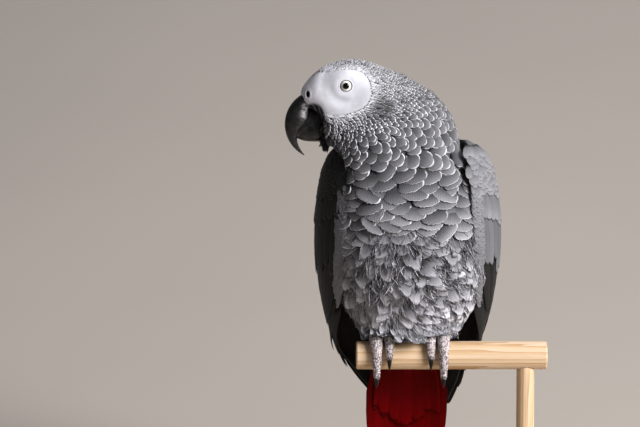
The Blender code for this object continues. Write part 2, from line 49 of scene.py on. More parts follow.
# Bird coordinates are millimetres from the top of the perch, midway between the feet.
boxes = {name: np.array(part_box(name)) / mm for name in
         ("perch", "foot_left", "foot_right", "eye_left", "eye_right")}  # millimetres in the shared frame
footMiddle = np.mean([boxes["foot_left"][:, 0], boxes["foot_right"][:, 0]])
birdOrigin = np.array((footMiddle, 0.0, boxes["perch"][1, 2]))
perchRadius = np.ptp(boxes["perch"][:, 2]) / 2
eyeCentre = boxes["eye_left"].mean(0) - birdOrigin
eyeRadius = np.ptp(boxes["eye_left"][:, 2]) / 2
headY = (eyeCentre[1] + boxes["eye_right"][:, 1].mean()) / 2  # the plane that halves the head
eyeOut = headY - eyeCentre[1]
draw = np.random.default_rng(7)


# Numbers, curves and meshes

def linearGrey(value):  # sRGB 0..1 to linear
    return np.where(value <= 0.04045, value / 12.92, ((value + 0.055) / 1.055) ** 2.4)


def linear(hexColour):  # sRGB hex to linear RGBA
    return (*linearGrey(np.array(list(bytes.fromhex(hexColour))) / 255), 1.0)


def ease(low, high, value):  # 0 below low, 1 above high, 3t² - 2t³ between
    t = np.clip((value - low) / (high - low), 0, 1)
    return t * t * (3 - 2 * t)


def through(keys, at):  # a smooth cubic through rows of (position, value, ...), one row for each at
    keys = np.array(sorted(keys), float)
    x, y = keys[:, 0], keys[:, 1:]
    at = np.clip(np.asarray(at, float), x[0], x[-1])
    slope = np.diff(y, axis=0) / np.diff(x)[:, None]
    tangent = np.concatenate([slope[:1], (slope[:-1] + slope[1:]) / 2, slope[-1:]])
    i = np.clip(np.searchsorted(x, at, "right") - 1, 0, len(x) - 2)
    h = (x[i + 1] - x[i])[..., None]
    t = (at - x[i])[..., None] / h
    start = (2 * t**3 - 3 * t**2 + 1) * y[i] + (t**3 - 2 * t**2 + t) * h * tangent[i]
    return start + (3 * t**2 - 2 * t**3) * y[i + 1] + (t**3 - t**2) * h * tangent[i + 1]


def hump(value, middle, width):  # 1 at the middle, falling as a bell
    return np.exp(-((value - middle) / width) ** 2)


def circle(count):  # angles of a full turn
    return np.linspace(0, 2 * math.pi, count, endpoint=False)


def rounded(value, squareness):  # sign(v)·|v|^(2/s) pushes a circle out towards a square
    return np.sign(value) * np.abs(value) ** (2.0 / squareness)


def unit(vectors):
    return vectors / np.maximum(np.linalg.norm(vectors, axis=-1, keepdims=True), 1e-9)


def gridLoops(rows, columns, closed=False):  # quads of a grid, wrapped across its columns if closed
    across = columns if closed else columns - 1
    j, i = np.meshgrid(np.arange(rows - 1), np.arange(across), indexing="ij")
    a, b = j * columns + i, j * columns + (i + 1) % columns
    return np.stack([a, b, b + columns, a + columns], -1).reshape(-1, 4)


def cleaned(mesh, merge=0.002):  # merged, facing outwards, smooth
    work = bmesh.new()
    work.from_mesh(mesh)
    bmesh.ops.remove_doubles(work, verts=work.verts, dist=merge * mm)
    bmesh.ops.recalc_face_normals(work, faces=work.faces)
    work.to_mesh(mesh)
    work.free()
    mesh.shade_smooth()


def toFrame(points):
    return (np.asarray(points, float).reshape(-1, 3) + birdOrigin) * mm


def meshFrom(name, points, loops, starts):  # points in bird millimetres, loops and starts of the polygons
    mesh = bpy.data.meshes.new(name)
    mesh.vertices.add(len(points))
    mesh.vertices.foreach_set("co", toFrame(points).ravel())
    mesh.loops.add(len(loops))
    mesh.loops.foreach_set("vertex_index", np.asarray(loops, np.int32))
    mesh.polygons.add(len(starts))
    mesh.polygons.foreach_set("loop_start", np.asarray(starts, np.int32))
    mesh.update(calc_edges=True)
    mesh.shade_smooth()
    return mesh


def addColour(mesh, name, rgb):  # one linear colour for each point
    rgba = np.concatenate([rgb, np.ones((len(rgb), 1))], 1)
    mesh.attributes.new(name, "FLOAT_COLOR", "POINT").data.foreach_set("color", rgba.ravel())


def addValue(mesh, name, value):
    mesh.attributes.new(name, "FLOAT", "POINT").data.foreach_set("value", np.asarray(value, float).ravel())


def valuesOf(items, key, kind=float):  # one row of three for each point or triangle
    found = np.empty(len(items) * 3, kind)
    items.foreach_get(key, found)
    return found.reshape(-1, 3)


def placesOf(mesh):  # its points in bird millimetres
    return valuesOf(mesh.vertices, "co") / mm - birdOrigin


def addMap(mesh, name, uv):  # a UV map from one pair for each point
    loops = np.empty(len(mesh.loops), np.int32)
    mesh.loops.foreach_get("vertex_index", loops)
    mesh.uv_layers.new(name=name).data.foreach_set("uv", uv[loops].ravel())


def placed(name, data, place=(0, 0, 0), turn=(0, 0, 0)):  # a new object in the scene
    item = bpy.data.objects.new(name, data)
    item.location, item.rotation_euler = place, turn
    bpy.context.scene.collection.objects.link(item)
    return item


def finished(mesh, name, material, slot, *nodes):  # the object of a finished piece, on the one body
    piece = placed(name, mesh)
    mesh.materials.clear()
    mesh.materials.append(material)
    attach(piece, "root")
    if nodes:
        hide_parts(*nodes)
    return piece


def joined(name, meshes):  # one mesh of several that hold the same attributes and maps
    work = bmesh.new()
    for mesh in meshes:
        work.from_mesh(mesh)
    whole = bpy.data.meshes.new(name)
    work.to_mesh(whole)
    work.free()
    whole.shade_smooth()
    return whole


def applied(piece):  # bakes the modifiers into the mesh
    graph = bpy.context.evaluated_depsgraph_get()
    mesh = bpy.data.meshes.new_from_object(piece.evaluated_get(graph))
    piece.modifiers.clear()
    piece.data = mesh
    return mesh


def sweep(path, radii, around, flatten=1.0, side=(1.0, 0.0, 0.0)):
    # Rings about a path: P(s, t) = path(s) + r(s)·(flatten·cos t·side + sin t·up)
    ahead = unit(np.gradient(path, axis=0))
    side = unit(side - ahead * (ahead @ side)[:, None])
    up = np.cross(side, ahead)
    turn = circle(around)[:, None]
    ring = np.cos(turn) * side[:, None] * flatten + np.sin(turn) * up[:, None]
    return path[:, None] + ring * radii[:, None, None]


def closedLoft(rings):  # points, loops and starts of rings with a fan at each end
    count, around = rings.shape[:2]
    points = np.concatenate([rings.reshape(-1, 3), rings[:1].mean(1), rings[-1:].mean(1)])
    quads = gridLoops(count, around, closed=True)
    i = np.arange(around)
    first = np.stack([(i + 1) % around, i, np.full(around, count * around)], 1)
    last = np.stack([i, (i + 1) % around, np.full(around, count * around + 1)], 1)
    last[:, :2] += (count - 1) * around
    loops = np.concatenate([quads.ravel(), first.ravel(), last.ravel()])
    sizes = np.concatenate([np.full(len(quads), 4), np.full(2 * around, 3)])
    return points, loops, np.concatenate([[0], np.cumsum(sizes)[:-1]])


# Materials

def setNode(node, settings, links):
    # Settings go to the input of that name or number, or to the node's own property. A colour ramp's
    # stops are pairs of position and colour.
    for key, value in settings.items():
        if isinstance(key, int) or key in node.inputs:
            node.inputs[key].default_value = value
        elif key == "stops":
            elements = node.color_ramp.elements
            while len(elements) < len(value):
                elements.new(0.5)
            for element, (position, colour) in zip(elements, value):
                element.position, element.color = position, colour
        else:
            setattr(node, key, value)
    for key, source in links.items():
        node.id_data.links.new(source, node.inputs[key])


def addNode(tree, kind, settings=None, links=None, output=0):
    # Gives one output of the new node. After a space, kind may name the node's operation.
    kind, _, operation = kind.partition(" ")
    made = tree.nodes.new(f"ShaderNode{kind}")
    if operation:
        made.operation = operation
    setNode(made, settings or {}, links or {})
    return made.outputs[output]


def newMaterial(name):
    # The material, addNode for its own nodes, and the link that lays a pattern on the object.
    material = bpy.data.materials.new(name)
    material.use_nodes = True
    add = functools.partial(addNode, material.node_tree)
    return material, add, {"Vector": add("TexCoord", output="Object")}


def fromTo(low, high, start, end):  # settings that turn low..high into start..end
    return {"From Min": low, "From Max": high, "To Min": start, "To Max": end}


def mottled(add, colour, cloud, low, high):  # a colour scaled from low to high by a cloud of noise
    share = add("MapRange", fromTo(0.3, 0.7, low, high), {"Value": cloud})
    return add("VectorMath SCALE", {}, {0: colour, "Scale": share})


def withFinish(material, colour, relief, bump, settings, links=None):
    # Base colour, a relief with the bump's strength and depth in metres, and the shader's own constants.
    tree = material.node_tree
    links = {"Base Color": colour, **(links or {})}
    if relief:
        strength, depth = bump
        links["Normal"] = addNode(tree, "Bump", {"Strength": strength, "Distance": depth}, {"Height": relief})
    setNode(tree.nodes["Principled BSDF"], settings, links)
    return material


feather = {
    "barbsAcross": 30.0,  # barb furrows along one vane, drawn coarser than the real 0.3 mm so that they show
    "barbSlant": 11.0,
    "barbDepth": 0.00004,
    "wobble": 0.5, "wobbleScale": 420.0,
    "shaftWidth": 0.035,
    "roughness": 0.72, "specular": 0.25, "sheen": 0.08,
    "shaftShade": 0.86, "furrowShade": 0.05,
    "powder": 0.10,  # how far the powder down mottles the grey
}
down = {**feather, "barbsAcross": 1.2, "barbSlant": 14.0, "barbDepth": 0.00006, "shaftWidth": 0.001,
        "wobble": 0.8, "wobbleScale": 190.0, "roughness": 0.9, "specular": 0.06, "shaftShade": 1.0,
        "furrowShade": 0.14}
flight = {**feather, "shaftShade": 0.7, "furrowShade": 0.14, "roughness": 0.55, "sheen": 0.0}
scarlet = {**flight, "specular": 0.04, "shaftShade": 0.8, "furrowShade": 0.06, "roughness": 0.65}


def featherMaterial(name, options):
    # Keratin vane of zipped barbs, dusted with powder down: matt, with fine slanted furrows beside a
    # shaft. The centre and margin colours are the bird's own markings with painted shade laid in, held on
    # each feather.
    material, add, place = newMaterial(name)
    centre, margin = (add("Attribute", {"attribute_name": key}, output="Color") for key in ("tone", "edge"))
    rim = add("Attribute", {"attribute_name": "rim"}, output="Fac")
    across = add("SeparateXYZ", links={0: add("UVMap", {"uv_map": "vane"})})
    offShaft = add("Math ABSOLUTE", {}, {0: add("Math SUBTRACT", {1: 0.5}, {0: across})})
    slanted = add("Math MULTIPLY", {1: -options["barbSlant"]}, {0: offShaft})
    along = add("Math MULTIPLY_ADD", {1: options["barbsAcross"]}, {0: across.node.outputs["Y"], 2: slanted})
    wobble = add("TexNoise", {"Scale": options["wobbleScale"], "Detail": 2.0}, place)
    turned = add("Math MULTIPLY_ADD", {1: options["wobble"]}, {0: wobble, 2: along})
    barbs = add("Math SINE", {}, {0: add("Math MULTIPLY", {1: 2 * math.pi}, {0: turned})})
    shaft = add("MapRange", fromTo(0.0, options["shaftWidth"], 1.0, 0.0), {"Value": offShaft})
    edgeMask = add("MapRange", {"interpolation_type": "SMOOTHSTEP", **fromTo(0.1, 0.6, 0.0, 1.0)},
                   {"Value": rim})
    base = add("Mix", {"data_type": "RGBA"}, {0: edgeMask, 6: centre, 7: margin}, 2)
    powder = add("TexNoise", {"Scale": 900.0, "Detail": 3.0, "Roughness": 0.6}, place)
    mottle = fromTo(0.3, 0.7, 1 - options["powder"], 1 + options["powder"])
    shade = add("MapRange", mottle, {"Value": powder})
    furrow = add("Math MULTIPLY_ADD", {1: options["furrowShade"] / 2}, {0: barbs, 2: shade})
    quill = add("MapRange", fromTo(0.0, 1.0, 1.0, options["shaftShade"]), {"Value": shaft})
    colour = add("VectorMath SCALE", {}, {0: base, "Scale": add("Math MULTIPLY", {}, {0: furrow, 1: quill})})
    relief = add("Math MULTIPLY_ADD", {1: 1.5}, {0: shaft, 2: barbs})
    return withFinish(material, colour, relief, (0.6, options["barbDepth"]), {
        "Roughness": options["roughness"], "Specular IOR Level": options["specular"],
        "Sheen Weight": options["sheen"], "Sheen Roughness": 0.5})


def skinMaterial():
    # Bare parrot skin, chalky with powder down: matt, soft, pored, with the coat's own markings and painted
    # shade in its tone.
    material, add, place = newMaterial("powdered bare skin")
    tone = add("Attribute", {"attribute_name": "tone"}, output="Color")
    pores = add("TexVoronoi", {"Scale": 950.0}, place)  # 1 mm pores
    cloud = add("TexNoise", {"Scale": 260.0, "Detail": 4.0}, place)
    relief = add("Math MULTIPLY_ADD", {1: 0.25}, {0: pores, 2: cloud})
    return withFinish(material, mottled(add, tone, cloud, 0.93, 1.05), relief, (0.4, 0.00025), {
        "Roughness": 0.78, "Specular IOR Level": 0.25, "Subsurface Weight": 0.08,
        "Subsurface Radius": (0.6, 0.35, 0.3), "Subsurface Scale": 0.001})


def hornMaterial(name, dark, worn, roughness, specular=0.5):
    # Keratin horn grown in layers: near black, satin, with faint growth bands and dry paler scuffs.
    material, add, place = newMaterial(name)
    wear, growth = (add("Attribute", {"attribute_name": key}, output="Fac") for key in ("wear", "growth"))
    cloud = add("TexNoise", {"Scale": 330.0, "Detail": 5.0, "Roughness": 0.65}, place)
    band = add("Math MULTIPLY_ADD", {1: 2.6}, {0: cloud, 2: growth})  # growth is millimetres along the horn
    band = add("Math SINE", {}, {0: add("Math MULTIPLY", {1: 4.2}, {0: band})})
    dry = add("Math MULTIPLY_ADD", {1: 0.3, 2: -0.15}, {0: cloud})
    dry = add("Math MULTIPLY_ADD", {1: 0.03}, {0: band, 2: dry})
    patchy = add("MapRange", fromTo(0.36, 0.6, 0.1, 1.25), {"Value": cloud})
    amount = add("Math MULTIPLY_ADD", {"use_clamp": True}, {0: wear, 1: patchy, 2: dry})
    colour = add("Mix", {"data_type": "RGBA", 6: linear(dark), 7: linear(worn)}, {0: amount}, 2)
    gloss = add("MapRange", fromTo(0.0, 1.0, roughness, roughness + 0.35), {"Value": amount})
    relief = add("Math MULTIPLY_ADD", {1: 0.12}, {0: band, 2: cloud})
    return withFinish(material, colour, relief, (0.3, 0.00022), {"IOR": 1.55, "Specular IOR Level": specular},
                      {"Roughness": gloss})


def footMaterial(options):
    # Scaled foot skin: dry grey-pink scales, matt on top. A dark net of furrows lies between them where
    # the distance to a cell's border is under a width that noise varies, and it closes up to the claws.
    material, add, place = newMaterial("scaled foot skin")
    tone = add("Attribute", {"attribute_name": "tone"}, output="Color")
    age = add("Attribute", {"attribute_name": "age"}, output="Fac")
    cloud = add("TexNoise", {"Scale": 700.0, "Detail": 3.0}, place)
    border = add("TexVoronoi", {"feature": "DISTANCE_TO_EDGE", "Scale": 1 / mm / options["netSize"]}, place)
    patch = add("TexNoise", {"Scale": 480.0, "Detail": 1.0}, place)
    wide = add("Math MULTIPLY_ADD", {1: 0.7, 2: -0.31}, {0: patch})
    wide = add("Math MULTIPLY_ADD", {1: 0.26}, {0: age, 2: wide})
    border = add("Math SUBTRACT", {}, {0: border, 1: wide})
    net = add("MapRange", fromTo(-0.04, 0.06, 0.85, 0.0), {"Value": border})
    colour = mottled(add, tone, cloud, 0.86, 1.1)
    colour = add("Mix", {"data_type": "RGBA", 7: linear(options["net"])}, {0: net, 6: colour}, 2)
    relief = add("Math MULTIPLY_ADD", {1: -0.8}, {0: net, 2: cloud})
    return withFinish(material, colour, relief, (0.5, 0.0002), {"Roughness": 0.65})


def eyeMaterial():
    # Glass-clear cornea over a straw-white iris and a black pupil: the colour changes with the distance
    # from the eye's axis, held in millimetres on the ball, under a hard wet gloss.
    material, add, place = newMaterial("wet eye")
    offAxis = add("Attribute", {"attribute_name": "offAxis"}, output="Fac")
    fibre = add("TexNoise", {"Scale": 1500.0, "Detail": 2.0}, place)
    mixed = add("Math ADD", {}, {0: add("Math MULTIPLY_ADD", {1: 0.35, 2: -0.17}, {0: fibre}), 1: offAxis})
    widest = 6.0  # the ramp's end, in millimetres from the axis
    stops = ((0.0, "050505"), (1.88, "060606"), (2.12, "8f8d86"), (2.4, "eceae2"), (3.4, "f8f7f2"),
             (3.72, "8d8a84"), (3.95, "625e5a"), (4.4, "3f3c3a"))
    colour = add("ValToRGB", {"stops": [(reach / widest, linear(tone)) for reach, tone in stops]},
                 {"Fac": add("Math DIVIDE", {1: widest}, {0: mixed})})
    return withFinish(material, colour, None, None, {
        "Roughness": 0.6, "Specular IOR Level": 0.0,
        "Coat Weight": 1.0, "Coat Roughness": 0.03, "Coat IOR": 1.33})


wood = {
    "ringSpacing": 2.6,  # millimetres between growth lines
    "grainStretch": 0.06, "drift": 0.035,
    "pale": "d5bea5", "middle": "caad8b", "late": "b99571", "roughness": 0.7, "specular": 0.1,
}


def pineMaterial(name, options, along):
    # Planed and sanded pine: pale early wood with warmer late-wood lines that run along the grain.
    material, add, place = newMaterial(name)
    stretch = [1.0, 1.0, 1.0]
    stretch[along] = options["grainStretch"]
    grain = add("Mapping", {"Scale": stretch, "Location": (0.0, 0.013, 0.021)}, place)
    drift = add("TexNoise", {"Scale": 60.0, "Detail": 3.0}, {"Vector": grain}, "Color")
    moved = add("Mix", {"data_type": "VECTOR", 0: options["drift"]}, {4: grain, 5: drift}, 1)
    rings = add("TexWave", {"wave_type": "RINGS", "rings_direction": "XYZ"[along], "wave_profile": "SAW",
                            "Scale": 0.5 / options["ringSpacing"] / mm / 3.14,
                            "Distortion": 1.2, "Detail": 2.0}, {"Vector": moved}, "Fac")
    fibre = add("TexNoise", {"Scale": 2400.0, "Detail": 3.0}, {"Vector": grain})
    mixed = add("Math ADD", {"use_clamp": True},
                {0: add("Math MULTIPLY_ADD", {1: 0.5, 2: -0.25}, {0: fibre}), 1: rings})
    stops = [(stop, linear(options[key])) for key, stop in (("pale", 0.0), ("middle", 0.55), ("late", 1.0))]
    colour = add("ValToRGB", {"stops": stops}, {"Fac": mixed})
    return withFinish(material, colour, mixed, (0.25, 0.0002), {
        "Roughness": options["roughness"], "Specular IOR Level": options["specular"]})


# Camera, floor and lights

studio = {
    "target": (-0.0883, 0.0, 0.2111), "distance": 1.5, "pitch": 4.0, "fieldWidth": 0.4288,
    "backdrop": "b9b1aa", "air": (0.92, 0.95, 1.0, 1.0), "ambient": 0.09,
    "floor": (2.8, 0.35, 6.0, 5.0),  # the bend's radius and start, half the width, and the wall's height
    "aim": (-0.03, 0.0, 0.22),
    "lamps": (
        # name, place, where it points if not at the aim, size, power, colour, degrees of spread
        ("key", (1.36, -1.2, 0.9), None, 1.1, 16.7, (1.0, 0.985, 0.97), 80.0),
        ("fill", (-1.5, -1.2, 0.7), None, 1.4, 1.0, (0.94, 0.97, 1.0), 180.0),
        ("top", (0.0, 0.5, 1.9), None, 1.2, 3.0, (1.0, 1.0, 1.0), 180.0),
        ("behind", (1.1, 0.7, 2.4), (1.1, 2.6, 0.5), 2.0, 41.0, (1.0, 1.0, 1.0), 180.0),
    ),
}


def areaLight(name, place, aim, size, power, colour, spread):
    lamp = bpy.data.lights.new(name, "AREA")
    lamp.shape, lamp.size, lamp.energy, lamp.color = "DISK", size, power, colour
    lamp.spread = math.radians(spread)
    way = np.array(aim) - np.array(place)
    tilt = math.atan2(way[2], math.hypot(way[0], way[1]))
    placed(name, lamp, place, (math.pi / 2 + tilt, 0.0, math.atan2(way[1], way[0]) - math.pi / 2))


def buildStudio(options):
    scene = bpy.context.scene
    pitch = math.radians(options["pitch"])
    lens = bpy.data.cameras.new("studio camera")
    lens.sensor_width = 36.0
    lens.lens = lens.sensor_width * options["distance"] / options["fieldWidth"]
    back = options["distance"] * np.array((0.0, -math.cos(pitch), math.sin(pitch)))
    scene.camera = placed("studio camera", lens, options["target"] + back, (math.pi / 2 - pitch, 0.0, 0.0))
    # A floor that turns up into a wall: height 0 out to the bend, a quarter circle, then straight up.
    radius, bend, half, wall = options["floor"]
    turn = np.linspace(0, math.pi / 2, 24)
    curve = np.stack([bend + radius * np.sin(turn), radius * (1 - np.cos(turn))], 1)
    profile = np.concatenate([[(-half, 0.0)], curve, [(bend + radius, wall)]])
    x = np.linspace(-half, half, 13)
    points = np.stack(np.broadcast_arrays(x[None, :], profile[:, :1], profile[:, 1:]), -1)
    mesh = bpy.data.meshes.new("studio sweep")
    mesh.from_pydata(points.reshape(-1, 3).tolist(), [], gridLoops(len(profile), len(x)).tolist())
    mesh.shade_smooth()
    material, add, place = newMaterial("matt painted sweep")
    cloud = add("TexNoise", {"Scale": 1.2, "Detail": 2.0}, place)
    base = np.array(linear(options["backdrop"]))
    stops = [(0.3, base * (0.96, 0.96, 0.96, 1)), (0.7, base * (1.03, 1.03, 1.03, 1))]
    colour = add("ValToRGB", {"stops": stops}, {"Fac": cloud})
    withFinish(material, colour, None, None, {"Roughness": 0.9, "Specular IOR Level": 0.0})
    mesh.materials.append(material)
    floor = placed("studio_sweep", mesh)
    for name, place, aim, size, power, tone, spread in options["lamps"]:
        areaLight(name, place, aim or options["aim"], size, power, tone, spread)
    world = bpy.data.worlds.new("soft room")
    world.use_nodes = True
    background = world.node_tree.nodes["Background"]
    setNode(background, {"Color": options["air"], "Strength": options["ambient"]}, {})
    scene.world = world
    scene.view_settings.view_transform = "Standard"


# The bird's plan: how long, which way and what colour the coat is at any place on the body

coat = {
    "face": (-46.3, 167.4, 20.8, 15.3, 10.0),  # bare patch: x, z, half length, half height, degrees of tilt
    "lieCentre": (-62.0, 140.0),  # the coat turns about this point, from the bill over the crown and nape
    "cheek": (-23.0, 157.0), "chin": (-58.0, 126.0),  # their middles, x and z
    "gape": (-64.5, 147.5, 7.6, 13.0),  # x, z, half width, half height
    "cere": (-65.5, 170.0),  # its middle
    "brow": (-70.0, 176.0, 0.5, 180.5),  # x and z where the forehead's edge starts, its slope, and its top
    "legs": 18.3,  # how far out each one stands
    # Greys of the vanes' centres and margins, by distance from the eye and then by height above the perch.
    # The body's centres pale towards the perch, partly the bird's own paler belly and partly painted light
    # against the shade under the belly.
    "fromEye": (15, 24, 34, 46, 70), "heights": (0, 30, 60, 85, 110),
    "centres": ((160, 132, 114, 108, 118), (208, 198, 172, 134, 118)),
    "margins": ((238, 226, 214, 204, 202), (212, 212, 212, 210, 208)),
}


def off(p, middle):  # x and z measured from a place
    return p[..., 0] - middle[0], p[..., 2] - middle[1]


def fromEye(p):  # distance from the eye, squeezed above and behind it, where the coat stays short for longer
    dx, dz = off(p, eyeCentre[::2])
    return np.hypot(np.where(dx > 0, 0.62 * dx, dx), np.where(dz > 0, 0.55 * dz, dz))


def faceAway(p):  # below 1 on the bare white face, an oval on each side of the head
    *middle, long, high, tilt = coat["face"]
    c, s = math.cos(math.radians(tilt)), math.sin(math.radians(tilt))
    dx, dz = off(p, middle)
    a, b = (c * dx + s * dz) / long, (c * dz - s * dx) / high
    away = (np.abs(a) ** 2.4 + np.abs(b) ** 2.4) ** (1 / 2.4)
    return away + 2.0 * ease(9.5, 6.0, np.abs(p[..., 1] - headY))


def faceMask(p):  # 1 where no feathers grow
    return 1 - ease(0.8, 1.0, faceAway(p))


def paleMask(p):  # 1 where the coat has paled to white, close to the face and the cere
    nearCere = ease(9.0, 0.5, aboveCere(p)) * ease(154.0, 160.0, p[..., 2]) * ease(-42.0, -56.0, p[..., 0])
    return np.maximum(nearCere, 1 - ease(0.93, 1.3, faceAway(p)))


def cheekMask(p):  # 1 on the streaky place behind the face
    dx, dz = off(p, coat["cheek"])
    return ease(13.0, 4.0, np.hypot(dx, dz * 1.1)) * ease(0.92, 1.08, faceAway(p))


def pastCere(p):  # millimetres back from the cere's middle
    dx, dz = off(p, coat["cere"])
    return dx * 0.82 + dz * 0.57


def aboveCere(p):  # millimetres above the line where the forehead's feathers begin
    startX, startZ, slope, top = coat["brow"]
    return p[..., 2] - np.minimum(startZ + slope * (p[..., 0] - startX), top)


def cereMask(p):  # 1 on the bare cere behind the upper bill
    return (1 - ease(-1.0, 1.5, aboveCere(p))) * ease(154.0, 158.0, p[..., 2]) * ease(-45.0, -53.0, p[..., 0])


def gapeMask(p):  # 1 on the dark wrinkled skin at the corner of the bill
    *middle, wide, high = coat["gape"]
    dx, dz = off(p, middle)
    return ease(1.08, 0.92, np.hypot(dx / wide, dz / high)) * ease(162.0, 158.0, p[..., 2])


def lieOf(p):  # the way the coat lies: a spiral about the gape, turning to straight down on the body
    x, y, z = np.moveaxis(p, -1, 0)
    dx, dz = off(p, coat["lieCentre"])
    radius = np.maximum(np.hypot(dx, dz), 1.0)
    rx, rz = dx / radius, dz / radius
    outwards = 0.35 + 0.45 * ease(0.9, 0.1, rz)
    sx, sz = 0.62 * rz + outwards * rx, -0.62 * rx + outwards * rz
    low = ease(132.0, 104.0, z)
    behind = 0.45 * ease(45.0, 10.0, z) + 0.9 * np.maximum(sx, 0) * (1 - low)
    loose = ease(92.0, 66.0, z) * ease(40.0, 10.0, y)
    clump = 0.4 * np.sin(x / 6.5 + 1.7 * np.sin(z / 10.0)) + 0.6 * np.tanh((x + 14.0) / 16.0)
    spread = 0.2 * ease(118.0, 60.0, z) * x / 45.0 + loose * clump
    return unit(np.stack([sx * (1 - low) + spread * low, behind, sz * (1 - low) - low], -1))


def flowOf(p):  # grows along the lie, so that rows are laid from the bill backwards and downwards
    dx, dz = off(p, coat["lieCentre"])
    head = (2.2 - np.arctan2(dz, dx)) * 42.0 + 0.5 * np.hypot(dx, dz)
    low = ease(132.0, 104.0, p[..., 2])
    return head * (1 - low) + (260.0 - p[..., 2]) * low


def backMask(p):  # 1 on the back and rump, between the wings
    return ease(18.0, 32.0, p[..., 1]) * ease(112.0, 90.0, p[..., 2])


def spacingOf(p):
    x, y, z = np.moveaxis(p, -1, 0)
    near = np.interp(fromEye(p), (15, 26, 31, 36, 47, 55, 80), (1.8, 2.3, 3.4, 5.2, 8.6, 10.4, 11.5))
    throat = ease(-30.0, -50.0, x) * ease(80.0, 105.0, z) * ease(150.0, 136.0, z)
    near = near * (1 - 0.28 * throat) * (0.7 + 0.3 * ease(1.0, 1.3, faceAway(p)))
    body = np.interp(z, (0, 30, 66, 84, 110), (7.5, 9.5, 10.5, 11.0, 10.5))
    low = ease(125.0, 95.0, z)
    leg = ease(26.0, 14.0, z) * ease(14.0, 9.0, np.abs(np.abs(x) - 18.5)) * ease(16.0, 11.0, y)
    return (near * (1 - low) + body * low) * (1 - 0.42 * leg) * (1 - 0.35 * backMask(p))


def stepOf(spacing):  # how close the rows follow, as a share of the spacing across them
    return np.interp(spacing, (2, 5, 8, 12), (0.74, 0.52, 0.4, 0.33))


def depthOf(p):  # how thick the coat is, in millimetres
    z = p[..., 2]
    near = np.interp(fromEye(p), (15, 31, 47, 80), (0.45, 0.8, 1.5, 2.0))
    near = near * (0.06 + 0.94 * ease(0.95, 1.7, faceAway(p)))
    near = near * (0.2 + 0.8 * ease(3.0, 12.0, pastCere(p)) + 0.8 * ease(158.0, 150.0, z)).clip(0, 1)
    low = ease(120.0, 60.0, z)
    deep = (near * (1 - low) + 3.0 * low) * (1 - 0.55 * backMask(p))
    leg = ease(24.0, 12.0, z)
    return (deep * (1 - leg) + 1.6 * leg) * (1 - faceMask(p)) * (1 - cereMask(p))


def fringeOf(p):  # 0 where vanes are neat scales, 1 where they are loose plumes
    return ease(84.0, 62.0, p[..., 2] + 6.0 * np.sin(p[..., 0] / 9.0)) * ease(40.0, 20.0, p[..., 1])


def greys(p):  # sRGB greys of a vane's centre and of its margin
    y, z = p[..., 1], p[..., 2]
    low, away = ease(128.0, 100.0, z), fromEye(p)
    centre, margin = (
        np.interp(away, coat["fromEye"], near) * (1 - low) + np.interp(z, coat["heights"], body) * low
        for near, body in (coat["centres"], coat["margins"]))
    behind = ease(6.0, 26.0, y) * ease(122.0, 100.0, z)  # a darker mantle
    rump = behind * ease(62.0, 40.0, z)  # and a pale rump
    centre = centre * (1 - 0.16 * behind + 0.3 * rump)
    # The chin is darker: partly the feathers' own darker grey there and partly painted shadow under the lower
    # bill.
    dx, dz = off(p, coat["chin"])
    chin = ease(17.0, 8.0, np.hypot(dx / 1.1, dz)) * ease(24.0, 14.0, np.abs(y - headY))
    cheek = cheekMask(p)
    centre, margin = centre * (1 - 0.52 * chin - 0.3 * cheek), margin * (1 - 0.56 * chin - 0.4 * cheek)
    pale = paleMask(p) * (1 - 0.5 * cheek)
    return centre + (202 - centre) * pale, margin + (212 - margin) * pale


def tint(grey):  # a grey with the plumage's slight blue
    return linearGrey(np.clip(np.asarray(grey, float)[..., None] / 255 * (0.985, 0.985, 1.03), 0, 1))


# Vanes

def vaneShape(columns, rows, root, widest, tip, bow):
    # One vane: x = u·w(v), y = v - bow·u²·v⁴, with w rising from root to 1 at widest and falling to tip.
    # A second face joins it all round its edge, so that it is a closed lens.
    u, v = np.meshgrid(columns, rows)
    width = np.where(v < widest, root + (1 - root) * np.sin(np.clip(v / widest, 0, 1) * math.pi / 2),
                     tip + (1 - tip) * np.cos(np.clip((v - widest) / (1 - widest), 0, 1) * math.pi / 2))
    nv, nu = u.shape
    rim = np.zeros((nv, nu))
    rim[:, 0] = rim[:, -1] = rim[-1] = 1
    shape = {"u": u, "v": v, "x": u * width, "y": v - bow * u**2 * v**4, "rim": rim, "lower": 0 * u}
    shape = {key: np.append(field, field[1:-1, 1:-1]) for key, field in shape.items()}
    shape["rim"][nv * nu:], shape["lower"][nv * nu:] = 0, 1
    top = np.arange(nv * nu)
    under = top.reshape(nv, nu).copy()
    under[1:-1, 1:-1] = nv * nu + np.arange((nv - 2) * (nu - 2)).reshape(nv - 2, nu - 2)
    quads = gridLoops(nv, nu)
    return {**shape, "faces": np.concatenate([top[quads], under.ravel()[quads][:, ::-1]]), "columns": nu}


bakePatch = 0.003  # how wide each vane's patch is on the skin's unwrap
tinyVane = vaneShape((-1, -0.62, 0, 0.62, 1), (0, 0.5, 0.82, 1), 0.5, 0.55, 0.5, 0.22)
scaleVane = vaneShape((-1, -0.78, -0.4, 0, 0.4, 0.78, 1), (0, 0.35, 0.6, 0.78, 0.89, 1),
                      0.55, 0.55, 0.66, 0.2)
broadVane = vaneShape(np.linspace(-1, 1, 13), (0, 0.4, 0.65, 0.82, 0.93, 1), 0.6, 0.6, 0.78, 0.16)
plumeVane = vaneShape(np.linspace(-1, 1, 23), (0, 0.4, 0.68, 0.86, 1), 0.5, 0.5, 0.6, 0.34)
wispVane = vaneShape((-1, 0, 1), (0, 0.4, 0.75, 1), 0.5, 0.35, 0.1, 0.0)
covertVane = vaneShape((-1, -0.88, -0.45, 0, 0.45, 0.88, 1), (0, 0.35, 0.6, 0.8, 0.93, 1),
                       0.6, 0.5, 0.6, 0.1)
longGrid = (-1, -0.88, -0.4, 0, 0.4, 0.88, 1), (0, 0.25, 0.5, 0.7, 0.84, 0.94, 1)
